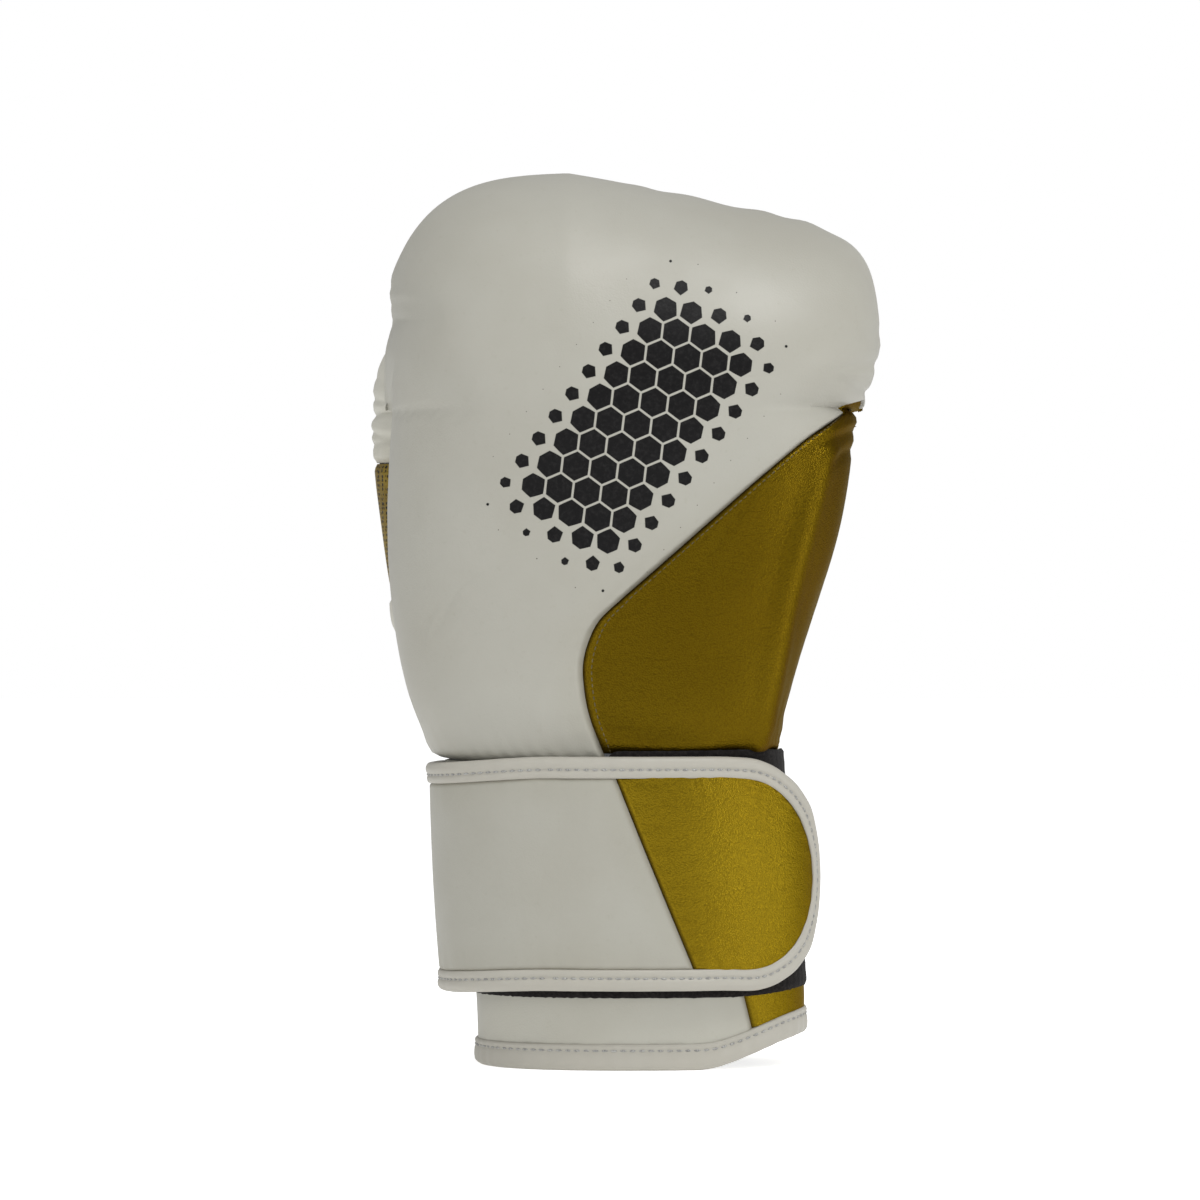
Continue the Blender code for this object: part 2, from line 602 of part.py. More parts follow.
def build_strap():
    root_hinge = (*STRAP.at(0, STRAP_FACE), 0.0)
    edge_hinge = (*STRAP.at(STRAP_EDGE, STRAP_FACE), 0.0)
    peel_hinge = (*STRAP.at(PEEL_LENGTH, STRAP_FACE), 0.0)
    face, core = (STRAP_FACE, STRAP_FACE - LEATHER), (STRAP_FACE - LEATHER - 0.5, 2.0)
    hook = (1.7, 0.9)
    back_start, back_end = STRAP_EDGE + HINGE_GAP, PEEL_LENGTH - HINGE_GAP
    tip_start = PEEL_LENGTH + HINGE_GAP

    def tip_end(inset):
        return lambda z: round_end(z, inset)

    root_start, root_end = STRAP_EDGE - 41, STRAP_EDGE - HINGE_GAP
    strap_piece("strap_elastic", 0, root_start - 1, 8, (3.4, 1.6), BLACK_ELASTIC, root_hinge, 2)
    strap_piece("strap_root_panel", root_start, root_end, 0, face, WHITE_LEATHER, root_hinge, 2)
    strap_piece("strap_root_core", root_start, root_end, 0.5, core, FOAM, root_hinge, 2)
    seam, seam_past, inset = strap_seam(-GAP), strap_seam(GAP), BINDING_WIDTH + GAP
    strap_piece("strap_white_panel", back_start, seam, inset, face, WHITE_LEATHER, edge_hinge, 4)
    strap_piece("strap_gold_wedge", seam_past, back_end, inset, face, GOLD_LEATHER, edge_hinge, 4)
    strap_piece("strap_gold_end", tip_start, tip_end(inset), inset, face, GOLD_LEATHER, peel_hinge, 9)
    strap_piece("strap_core_back", back_start, back_end, 0.5, core, FOAM, edge_hinge, 2)
    strap_piece("strap_core_end", tip_start, tip_end(0.5), 0.5, core, FOAM, peel_hinge, 11)
    strap_piece("strap_hook_back", STRAP.length_at(-30, -1), back_end, 6, hook, BLACK_HOOK, edge_hinge, 2)
    strap_piece("strap_hook_end", tip_start, tip_end(8), 8, hook, BLACK_HOOK, peel_hinge, 9)
    strap_band("strap_binding_top", back_start, back_end, STRAP_TOP - BINDING_WIDTH, face, edge_hinge)
    strap_band("strap_binding_bottom", back_start, back_end, STRAP_BOTTOM, face, edge_hinge)
    strap_end_binding(tip_start, face, peel_hinge)


def strap_band(name, start, end, low, outs, hinge):
    """Straight binding along one long edge of the strap."""
    heights = spread(low, low + BINDING_WIDTH, 2)
    columns = stations(heights, Edge(start), Edge(end), LENGTH_STEP)
    layer(name, heights, columns, strap_at, outs, WHITE_BINDING, hinge)


def strap_end_binding(start, outs, hinge):
    """Binding that follows the strap's round end: along its top edge, round, and back along the bottom."""
    straight = STRAP.total - END_REACH

    def edge(share, inset):
        """A point on the outline, inset from the strap's edge, as length and height."""
        if abs(share) > 1:
            run = (abs(share) - 1) * (straight - start)
            return straight - run, STRAP_MIDDLE + math.copysign(STRAP_HALF - inset, share)
        height = math.sin(share * math.pi / 2)
        z = STRAP_MIDDLE + (STRAP_HALF - inset) * height
        return round_end(z, inset), z

    def at(inset, share, out):
        return strap_point(*edge(share, inset), out)

    shares = [-2.0, -1.6, -1.3, *spread(-1, 1, 17), 1.3, 1.6, 2.0]
    layer("strap_binding_end", (0.0, BINDING_WIDTH), lambda row: shares, at, outs, WHITE_BINDING, hinge)


def clear_scene():
    for old in list(bpy.data.objects):
        bpy.data.objects.remove(old)


clear_scene()
cutters = seam_cutter("seam_cutter_white", -GAP / 2), seam_cutter("seam_cutter_gold", GAP / 2)
build_hand(*cutters)
build_fingers()
build_thumb()
build_cuff(*cutters)
build_strap()
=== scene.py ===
import math

import bpy
import numpy as np
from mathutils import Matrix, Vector


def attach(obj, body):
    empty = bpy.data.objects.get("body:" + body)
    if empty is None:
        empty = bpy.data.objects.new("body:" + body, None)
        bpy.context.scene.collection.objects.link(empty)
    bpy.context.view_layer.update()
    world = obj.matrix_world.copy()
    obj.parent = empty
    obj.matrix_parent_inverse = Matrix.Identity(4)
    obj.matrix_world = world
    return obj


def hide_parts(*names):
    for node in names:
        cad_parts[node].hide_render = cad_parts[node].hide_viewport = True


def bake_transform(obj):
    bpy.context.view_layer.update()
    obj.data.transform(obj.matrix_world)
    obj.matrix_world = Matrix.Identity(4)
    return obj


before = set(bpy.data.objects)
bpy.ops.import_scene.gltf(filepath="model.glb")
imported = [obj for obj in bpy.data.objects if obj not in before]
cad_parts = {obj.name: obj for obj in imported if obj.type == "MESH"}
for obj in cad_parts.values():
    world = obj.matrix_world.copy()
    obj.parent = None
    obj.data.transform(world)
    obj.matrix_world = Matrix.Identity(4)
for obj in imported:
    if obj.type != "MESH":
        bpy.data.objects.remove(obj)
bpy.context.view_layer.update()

MM = 0.001
MIDDLE_Y = 12.1  # the forms are measured from the cuff's middle; the frame's y = 0 lies this far behind it

# ======================================================================= forms, in millimetres and degrees


def spline(*stations):
    """A smooth curve through (position, value) stations, for arrays."""
    xs, ys = np.array(stations, float).T
    slopes = np.gradient(ys, xs)

    def at(x):
        x = np.clip(np.asarray(x, float), xs[0], xs[-1])
        i = np.clip(np.searchsorted(xs, x, side="right") - 1, 0, len(xs) - 2)
        h = xs[i + 1] - xs[i]
        t = (x - xs[i]) / h
        rise = ys[i] * (1 + 2 * t) * (1 - t) ** 2 + ys[i + 1] * t * t * (3 - 2 * t)
        return rise + h * t * (1 - t) * (slopes[i] * (1 - t) - slopes[i + 1] * t)

    return at


def smooth(t):
    t = np.clip(t, 0.0, 1.0)
    return t * t * (3 - 2 * t)


def bump(x, centre, width):
    return np.exp(-(((x - centre) / width) ** 2))


def ripple(a, b, seed):
    """A gentle pseudo-random field of two lengths, about -1 to 1."""
    out = 0.0
    for k in range(4):
        f, g, h = 1.0 + 0.37 * k, 1.3 - 0.21 * k, seed * 1.7 + k * 2.4
        out = out + np.sin(f * a + h) * np.cos(g * b - 1.3 * h) + 0.5 * np.sin(1.7 * f * a - g * b + h)
    return out / 4.0


GRIP_Y, GRIP_Z = 15.0, 220.0
OUTER = {
    "left": spline((0, 49), (25, 50), (60, 54.5), (90, 57.4), (98, 59.2), (101.5, 60.3), (103, 60.9),
                   (104.3, 63.9), (107, 66), (112, 67.8), (122, 71.6), (134, 74.8), (150, 77.5), (170, 79.3),
                   (200, 79), (220, 77.5)),
    "right": spline((0, 60), (25, 60.5), (60, 57), (100, 53), (112, 52.4), (118, 53.2), (130, 56),
                    (150, 62.3), (170, 69.5), (190, 74.2), (206, 76.4), (214, 76.4), (220, 74.5)),
    "back": spline((0, 40), (60, 42), (100, 42), (112, 43.5), (130, 47), (160, 54), (190, 60), (220, 66)),
    "palm": spline((0, 40), (60, 42), (112, 42), (130, 42), (150, 36), (170, 27), (190, 17), (206, 11),
                   (220, 8)),
    "side_y": spline((0, 0), (110, 0), (150, 7), (190, 13), (220, GRIP_Y)),
    "power": spline((0, 2.3), (110, 2.4), (160, 2.7), (220, 2.9)),
    # the gold side turns round a tighter corner than the rest
    "corner_power": spline((0, 2.3), (50, 2.35), (85, 2.4), (98, 2.4), (104, 2.7), (110, 3.4), (118, 4.0),
                           (160, 4.2), (200, 3.8), (220, 3.0)),
}
WALL = {
    "left": spline((0, 8.5), (100, 9), (130, 17), (170, 29), (220, 30)),
    "right": spline((0, 8.5), (100, 9), (130, 12), (170, 24), (220, 30)),
    "back": spline((0, 8.5), (100, 9.5), (130, 15), (170, 21), (220, 25)),
    "palm": spline((0, 8.5), (100, 9.5), (130, 13), (206, 12), (220, 8)),
}
FINGERS = {
    "left": spline((0, 77.5), (30, 78), (60, 79.8), (75, 80), (84, 76.5), (90, 70.5), (97, 62), (108, 53),
                   (120, 47), (135, 41), (150, 38), (206, 36)),
    "right": spline((0, 74.5), (7, 78.5), (14, 82.5), (24, 84.8), (40, 85.6), (60, 85.9), (90, 85),
                    (120, 80), (150, 74), (180, 69), (206, 64)),
    "reach": spline((0, 66), (30, 71.5), (60, 78.5), (90, 80.6), (120, 75), (150, 67), (180, 60), (206, 55)),
    "left_power": spline((0, 2.9), (60, 3.7), (90, 3.9), (150, 2.8), (206, 2.6)),
    "right_power": spline((0, 3.0), (60, 5.6), (90, 7.0), (150, 3.6), (206, 3.0)),
    "slope": spline((0, 0), (45, 0.7), (90, 1.0), (140, 0.6), (206, 0)),
}
KNUCKLE_SLOPE = 0.00245
KNUCKLE_PEAK_X = -19.0
THUMB = {
    "x": spline((130, -51), (155, -58), (180, -61.6), (212, -63.9), (254, -62.9)),
    "y": spline((130, 24), (155, 31), (180, 36), (212, 40), (254, 42)),
    "radius": spline((130, 20), (155, 20.6), (180, 21.3), (212, 22.4), (226, 21.8)),
}
THUMB_BASE, THUMB_DOME, THUMB_TOP = 130.0, 226.0, 253.0
THUMB_GOLD_TOP = 203.0
GOLD_SEAM = spline((98, -4), (104, -6.5), (110, -8.9), (117, -11.6), (127, -13.6), (135, -13.9), (142, -12.2),
                   (149.7, -8.2), (156, -1.5), (164.7, 8.5), (179.5, 25.3), (194, 42), (208, 58.8), (219, 72),
                   (224, 77))


def section(left, right, back, palm, centre_y, power, corner_power, angle):
    c, s = np.cos(np.radians(angle)), np.sin(np.radians(angle))
    p = np.where((c < 0) & (s > 0), corner_power, power)
    k = (np.abs(c) ** p + np.abs(s) ** p + 1e-12) ** (-1 / p)
    return -np.where(c > 0, left, right) * k * c, centre_y - np.where(s > 0, back, palm) * k * s


def hand(z, angle, inset=0.0):
    """Points on the cuff's and hand's level sections, inset below the leather."""
    z, angle = np.broadcast_arrays(np.asarray(z, float), np.asarray(angle, float))
    form = {name: curve(z) for name, curve in OUTER.items()}
    x, y = section(form["left"] - inset, form["right"] - inset, form["back"] - inset, form["palm"] - inset,
                   form["side_y"], form["power"], form["corner_power"], angle)
    return np.stack([x, y, z], -1)


def pocket(z, angle):
    """Points on the inside of the wall."""
    z, angle = np.broadcast_arrays(np.asarray(z, float), np.asarray(angle, float))
    form = {name: OUTER[name](z) - WALL[name](z) for name in WALL}
    power = OUTER["power"](z)
    x, y = section(form["left"], form["right"], form["back"], form["palm"], OUTER["side_y"](z), power,
                   power, angle)
    return np.stack([x, y, z], -1)


def fan_point(x, reach, theta):
    c, s = np.cos(np.radians(theta)), np.sin(np.radians(theta))
    return np.stack(np.broadcast_arrays(x, GRIP_Y - reach * c, GRIP_Z + reach * s), -1)


def fingers(theta, angle, inset=0.0):
    """Points on the fingers' sections, which fan round the grip bar."""
    theta, angle = np.broadcast_arrays(np.asarray(theta, float), np.asarray(angle, float))
    form = {name: curve(theta) for name, curve in FINGERS.items()}
    c, s = np.cos(np.radians(angle)), np.sin(np.radians(angle))
    p = np.where(c > 0, form["left_power"], form["right_power"])
    k = (np.abs(c) ** p + np.abs(s) ** p + 1e-12) ** (-1 / p)
    x = -(np.where(c > 0, form["left"], form["right"]) - inset) * k * c
    fall = 1 - form["slope"] * KNUCKLE_SLOPE * np.maximum(0.0, x - KNUCKLE_PEAK_X)
    return fan_point(x, (form["reach"] * fall - inset) * k * s, theta)


def thumb(z, angle, inset=0.0):
    z, angle = np.broadcast_arrays(np.asarray(z, float), np.asarray(angle, float))
    radius = THUMB["radius"](z) - inset
    top = THUMB_TOP - inset
    dome = np.clip((z - THUMB_DOME) / (THUMB_TOP - THUMB_DOME), 0, 1)
    radius = radius * np.sqrt(np.maximum(0.0, 1 - dome**2))
    z = np.where(z > THUMB_DOME, THUMB_DOME + dome * (top - THUMB_DOME), z)
    a = np.radians(angle)
    return np.stack([THUMB["x"](z) - radius * np.cos(a), THUMB["y"](z) - radius * np.sin(a), z], -1)


def angle_at_x(z, x, low=2.0, high=178.0):
    """The ring angle between low and high at which the section passes x, for arrays of z and x."""
    z, x = np.broadcast_arrays(np.asarray(z, float), np.asarray(x, float))
    way = 1.0 if high <= 180 else -1.0  # x grows with the angle over the back and falls over the palm
    low, high = np.full(z.shape, low), np.full(z.shape, high)
    for _ in range(28):
        middle = (low + high) / 2
        before = way * hand(z, middle)[..., 0] < way * x
        low, high = np.where(before, middle, low), np.where(before, high, middle)
    return (low + high) / 2


# ---------------------------------------------------------------- the strap's path, seen from above
STRAP_BOTTOM, STRAP_TOP, STRAP_FACE = 26.0, 102.0, 5.2
STRAP_PATH = [(252, -1.1), (270, -1.1), (288, -1.1), (306, -1.2), (324, -1.3), (342, -1.3), (360, -1.3),
              (378, 0.4), (396, 1.3), (414, 1.4), (432, 1.4), (450, 1.4), (468, 1.4), (484, 1.4), (498, 1.4),
              (512, 1.4), (526, 1.4)]  # ring angle, and how far outside the cuff's widest section there


def strap_plan():
    points = []
    for angle, stand in STRAP_PATH:
        z = np.linspace(STRAP_BOTTOM, STRAP_TOP, 5)
        x, y, _ = hand(z, float(angle)).T
        far = np.argmax(np.hypot(x, y))
        reach = math.hypot(x[far], y[far])
        points.append((x[far] * (1 + stand / reach), y[far] * (1 + stand / reach)))
    return points


plan = strap_plan()
track = [spline(*zip(range(len(plan)), values)) for values in zip(*plan)]
dense_t = np.linspace(0, len(plan) - 1, (len(plan) - 1) * 24 + 1)
path_points = np.stack([track[0](dense_t), track[1](dense_t)], -1)
path_length = np.concatenate([[0], np.cumsum(np.linalg.norm(np.diff(path_points, axis=0), axis=1))])
STRAP_END = path_length[-1]
STRAP_EDGE = path_length[np.argmin(path_points[:, 0])]


def back_length(x):
    """The length along the strap where it passes x on the back of the cuff."""
    return path_length[np.argmin(np.where(path_points[:, 1] < 0, np.abs(path_points[:, 0] - x), np.inf))]


STRAP_PEEL = back_length(27)


def strap(length, z, out):
    """Points of the strap. z and out are shifted a little so that it lies as worn leather does."""
    length, z, out = np.broadcast_arrays(*(np.asarray(v, float) for v in (length, z, out)))
    here = [np.interp(length, path_length, path_points[:, k]) for k in (0, 1)]
    ahead = [np.interp(length + 2, path_length, path_points[:, k]) for k in (0, 1)]
    behind = [np.interp(length - 2, path_length, path_points[:, k]) for k in (0, 1)]
    tx, ty = ahead[0] - behind[0], ahead[1] - behind[1]
    size = np.hypot(tx, ty)
    share = (z - STRAP_BOTTOM) / (STRAP_TOP - STRAP_BOTTOM)
    on_back = smooth((length - STRAP_EDGE - 5) / 50) * (1 - smooth((length - STRAP_PEEL) / 45))
    z = z + share * (2.4 * on_back - 0.2 * (1 - on_back)) + (1 - share) * (1.9 * on_back - 1.0)
    lean = (1 - share) * 4.4 * bump(length, STRAP_EDGE + 4, 26)
    out = out - lean + 1.4 * bump(length, STRAP_EDGE, 24) + 0.3 * smooth((length - STRAP_PEEL) / 40)
    return np.stack([here[0] + ty / size * out, here[1] - tx / size * out, z], -1)


# ======================================================================= mesh building


def normals_of(points, closed=False):
    """Unit normals of a grid, pointing away from its middle."""
    along = np.gradient(points, axis=0)
    if closed:
        wrapped = np.concatenate([points[:, -1:], points, points[:, :1]], 1)
        round_ = np.gradient(wrapped, axis=1)[:, 1:-1]
    else:
        round_ = np.gradient(points, axis=1)
    n = np.cross(round_, along)
    size = np.linalg.norm(n, axis=-1, keepdims=True)
    # where rows run together the direction means little, so it fades out
    return n / np.maximum(size, 1e-9) * smooth(size / (0.08 * np.median(size)))


def border_distances(points, closed=False):
    """How far each grid point lies from the grid's bottom, top, left and right borders."""
    up = np.linalg.norm(np.diff(points, axis=0), axis=-1)
    from_bottom = np.concatenate([np.zeros((1, points.shape[1])), np.cumsum(up, 0)])
    side = np.linalg.norm(np.diff(points, axis=1), axis=-1)
    from_left = np.concatenate([np.zeros((points.shape[0], 1)), np.cumsum(side, 1)], 1)
    far = np.full(from_left.shape, 999.0)
    return {
        "bottom": from_bottom,
        "top": from_bottom[-1:] - from_bottom,
        "left": far if closed else from_left,
        "right": far if closed else from_left[:, -1:] - from_left,
        "run": from_left,
    }


def grid_faces(rows, columns, start, closed=False, flip=False):
    i, j = np.meshgrid(np.arange(rows - 1), np.arange(columns if closed else columns - 1), indexing="ij")
    k = (j + 1) % columns
    quads = np.stack([i * columns + j, i * columns + k, (i + 1) * columns + k, (i + 1) * columns + j], -1)
    quads = quads.reshape(-1, 4) + start
    return quads[:, ::-1] if flip else quads


def build(name, points, faces, materials, face_material=None, values=None):
    """A mesh object from millimetres. values are extra per-point numbers that its material reads."""
    points = np.asarray(points, float) - (0, MIDDLE_Y, 0)
    mesh = bpy.data.meshes.new(name)
    mesh.from_pydata((points * MM).tolist(), [], [list(map(int, f)) for f in faces])
    for material in materials:
        mesh.materials.append(material)
    if face_material is not None:
        mesh.polygons.foreach_set("material_index", np.asarray(face_material, np.int32))
    mesh.polygons.foreach_set("use_smooth", np.ones(len(mesh.polygons), bool))
    rest = mesh.attributes.new("rest", "FLOAT_VECTOR", "POINT")
    rest.data.foreach_set("vector", (points * MM).astype(np.float32).ravel())
    for key, value in (values or {}).items():
        made = mesh.attributes.new(key, "FLOAT", "POINT")
        made.data.foreach_set("value", np.asarray(value, np.float32).ravel())
    mesh.update()
    mesh.set_sharp_from_angle(angle=math.radians(55))
    made = bpy.data.objects.new(name, mesh)
    bpy.context.scene.collection.objects.link(made)
    return made


def facing_out(points, faces):
    """The faces, all turned over if they face inwards."""
    corners = np.array([f[:3] for f in faces])
    a, b, c = (points[corners[:, m]] - points.mean(0) for m in range(3))
    inwards = np.einsum("ij,ij->i", a, np.cross(b, c)).sum() < 0
    return [f[::-1] for f in faces] if inwards else faces


def end_caps(rows, sides, start=0):
    """The two faces that close a run of rings."""
    last = start + (rows - 1) * sides
    return [list(range(start + sides - 1, start - 1, -1)), list(range(last, last + sides))]


def shell(name, outer, thickness, materials, closed=False, values=None, inner=None, capped=False):
    """A closed body from an outer and an inner grid joined at their borders. materials are outer, inner."""
    rows, columns = outer.shape[:2]
    count = rows * columns
    if inner is None:
        inner = outer - normals_of(outer, closed) * thickness
    faces = [grid_faces(rows, columns, 0, closed), grid_faces(rows, columns, count, closed, flip=True)]
    kinds = [np.zeros(len(faces[0])), np.ones(len(faces[1]))]
    j = np.arange(columns if closed else columns - 1)
    k = (j + 1) % columns
    last = (rows - 1) * columns
    if not capped:
        faces.append(np.stack([last + j, last + k, count + last + k, count + last + j], -1))
    faces.append(np.stack([k, j, count + j, count + k], -1))
    if not closed:
        i = np.arange(rows - 1) * columns
        faces.append(np.stack([i, i + columns, count + i + columns, count + i], -1))
        e = i + columns - 1
        faces.append(np.stack([e + columns, e, count + e, count + e + columns], -1))
    kinds += [np.zeros(len(f)) for f in faces[2:]]
    faces, kinds = np.concatenate(faces).tolist(), list(np.concatenate(kinds))
    if capped:
        faces += [list(range(last, last + columns)),
                  list(range(count + last + columns - 1, count + last - 1, -1))]
        kinds += [0, 1]
    points = np.concatenate([outer.reshape(-1, 3), inner.reshape(-1, 3)])
    both = {key: np.concatenate([np.ravel(v), np.ravel(v)]) for key, v in (values or {}).items()}
    kinds = kinds if len(materials) > 1 else None
    return build(name, points, facing_out(points, faces), materials, kinds, both)


CLOTH_STEPS = 20
CLOTH_CAP = 3.0  # how far the cloth may carry a point, in millimetres


def settle(points, pressure):
    """Lets a leather panel swell over its padding as cloth under pressure, held along its seams."""
    rows, columns = points.shape[:2]
    mesh = bpy.data.meshes.new("settling")
    faces = grid_faces(rows, columns, 0)
    mesh.from_pydata((points.reshape(-1, 3) * MM).tolist(), [], faces.tolist())
    cloth_object = bpy.data.objects.new("settling", mesh)
    bpy.context.scene.collection.objects.link(cloth_object)
    held = np.zeros((rows, columns), bool)
    held[:2] = held[-2:] = True
    held[:, :2] = held[:, -2:] = True
    group = cloth_object.vertex_groups.new(name="seams")
    group.add(np.flatnonzero(held).tolist(), 1.0, "REPLACE")
    cloth = cloth_object.modifiers.new("cloth", "CLOTH")
    cloth.settings.vertex_group_mass = "seams"
    cloth.settings.use_pressure = True
    cloth.settings.uniform_pressure_force = pressure
    cloth.settings.effector_weights.gravity = 0
    cloth.collision_settings.use_collision = False
    cloth.point_cache.frame_start, cloth.point_cache.frame_end = 1, CLOTH_STEPS
    for frame_number in range(1, CLOTH_STEPS + 1):
        bpy.context.scene.frame_set(frame_number)
    settled = cloth_object.evaluated_get(bpy.context.evaluated_depsgraph_get()).data
    moved = np.empty(rows * columns * 3)
    settled.vertices.foreach_get("co", moved)
    shift = moved.reshape(rows, columns, 3) / MM - points
    bpy.data.objects.remove(cloth_object)
    bpy.data.meshes.remove(mesh)
    bpy.context.scene.frame_set(1)
    size = np.linalg.norm(shift, axis=-1, keepdims=True)
    return points + shift * np.minimum(1.0, CLOTH_CAP / np.maximum(size, 1e-6))


def upholster(points, sides, closed=False, dip=1.3, roll=2.6, crown=0.6, pucker=0.25, wave=7.0, drift=0.3,
              seed=1.0, extra=None, swell=0.0):
    """Raises a plain form into stitched, padded leather: edges roll into their seams, puckers run off them,
    and the surface drifts a little. Returns the points and each one's distance to the nearest seam."""
    if swell:
        points = settle(points, swell)
    gaps = border_distances(points, closed)
    nearest = np.min([gaps[side] for side in sides], axis=0) if sides else np.full(points.shape[:2], 99.0)
    lift = -dip * (1 - smooth(nearest / roll)) + crown * (1 - np.exp(-nearest / 14))
    along_side, along_end = gaps["bottom"], gaps["run"]
    for side in sides:
        run = along_side if side in ("left", "right") else along_end
        fold = np.sin(2 * np.pi * run / wave + 1.8 * np.sin(run / 11 + seed) + seed)
        lift = lift + pucker * fold * np.exp(-gaps[side] / 6.5) * smooth(gaps[side] / 1.5)
    lift = lift + drift * ripple(along_end / 19, along_side / 23, seed)
    if extra is not None:
        lift = lift + extra
    return points + normals_of(points, closed) * lift[..., None], nearest


def rings_round(line, across, over, radius, sides):
    """Round rings of a radius about the points of a line, which has two directions across it."""
    a = np.linspace(0, 2 * np.pi, sides, endpoint=False)[None, :, None]
    return line[:, None] + radius * (across * np.cos(a) + over * np.sin(a))


def tube(name, path, radius, material, sides=8):
    """A round cord along points: piping."""
    path = np.asarray(path, float)
    tangent = np.gradient(path, axis=0)
    tangent /= np.linalg.norm(tangent, axis=1, keepdims=True)
    up = np.array((0.0, 0.0, 1.0)) if abs(tangent[:, 2]).mean() < 0.8 else np.array((0.0, 1.0, 0.0))
    side = np.cross(tangent, up)
    side /= np.linalg.norm(side, axis=1, keepdims=True)
    rings = rings_round(path, side[:, None], np.cross(side, tangent)[:, None], radius, sides)
    faces = grid_faces(len(path), sides, 0, closed=True).tolist() + end_caps(len(path), sides)
    return build(name, rings.reshape(-1, 3), faces, [material])


def stitches(name, path, outward, material, pitch=3.0, length=2.2, radius=0.42, lift=0.1):
    """A run of separate stitches on a path: short thread humps, sunk at their ends."""
    path, outward = np.asarray(path, float), np.asarray(outward, float)
    steps = np.concatenate([[0], np.cumsum(np.linalg.norm(np.diff(path, axis=0), axis=1))])
    points, faces = [], []
    rings, sides = 6, 6
    s = np.linspace(-0.5, 0.5, rings)
    fat = np.maximum(0.25, np.sqrt(np.maximum(0, 1 - (2 * s) ** 2 * 0.96)))
    sink = 0.5 * radius * (2 * s)[:, None] ** 2
    for start in np.arange(pitch / 2, steps[-1] - pitch / 2, pitch):
        centre, ahead = (np.array([np.interp(at, steps, path[:, k]) for k in range(3)])
                         for at in (start, start + 0.6))
        normal = np.array([np.interp(start, steps, outward[:, k]) for k in range(3)])
        tangent = (ahead - centre) / np.linalg.norm(ahead - centre)
        normal = normal - tangent * (normal @ tangent)
        normal /= np.linalg.norm(normal)
        line = centre + tangent * (s * length)[:, None] + normal * (lift - sink)
        ring = rings_round(line, np.cross(tangent, normal), normal * 0.8, radius * fat[:, None, None], sides)
        base = len(points) * rings * sides
        points.append(ring.reshape(-1, 3))
        faces += grid_faces(rings, sides, base, closed=True).tolist() + end_caps(rings, sides, base)
    return build(name, np.concatenate(points), faces, [material])


def sweep(name, stations, profile, point, material):
    """A closed profile of (inset, out) carried along stations by point(station, inset, out)."""
    profile = np.asarray(profile, float)
    grid = np.stack([point(s, profile[:, 0], profile[:, 1]) for s in stations])
    rows, columns = grid.shape[:2]
    faces = grid_faces(rows, columns, 0, closed=True).tolist() + end_caps(rows, columns)
    points = grid.reshape(-1, 3)
    return build(name, points, facing_out(points, faces), [material])


def rounded(points, count=4):
    """A closed profile through its corners, rounded."""
    p = np.asarray(points, float)
    out = []
    for i in range(len(p)):
        a, b, c, d = p[i - 1], p[i], p[(i + 1) % len(p)], p[(i + 2) % len(p)]
        square, cube = 2 * a - 5 * b + 4 * c - d, 3 * b - a - 3 * c + d
        for t in np.linspace(0, 1, count, endpoint=False):
            out.append(0.5 * (2 * b + (c - a) * t + square * t * t + cube * t**3))
    return np.array(out)


def hang(piece, bodies, replaces=()):
    """Gives a piece its body, or only bakes it in place when it spans two bodies, and hides the nodes it
    replaces.
    """
    if isinstance(bodies, str):
        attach(piece, bodies)
    else:
        first_body, second_body, start, end = bodies
        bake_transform(piece)
        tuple(start)
        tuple(end)
    if replaces:
        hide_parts(*replaces)


ALL_SIDES = ("bottom", "top", "left", "right")


def panel(name, points, sides, thickness, material, bodies, slot, replaces=(), fill=None, closed=False,
          capped=False, **raised):
    """A leather panel: a form upholstered, made a shell and hung on its body, or baked in place where it
    spans two. Returns its outer face.
    """
    lifted, seam = upholster(points, sides, closed=closed, **raised)
    piece = shell(name, lifted, thickness, [material], closed=closed, values={"seam": seam}, capped=capped)
    hang(piece, bodies, replaces)
    return lifted


# ======================================================================= materials


PRINT_PITCH = 0.0092
PRINT_CENTRE = (0.004, 0.0, 0.214)
PRINT_ALONG = (0.6, 0.0, 0.8)
PRINT_ACROSS = (0.8, 0.0, -0.6)


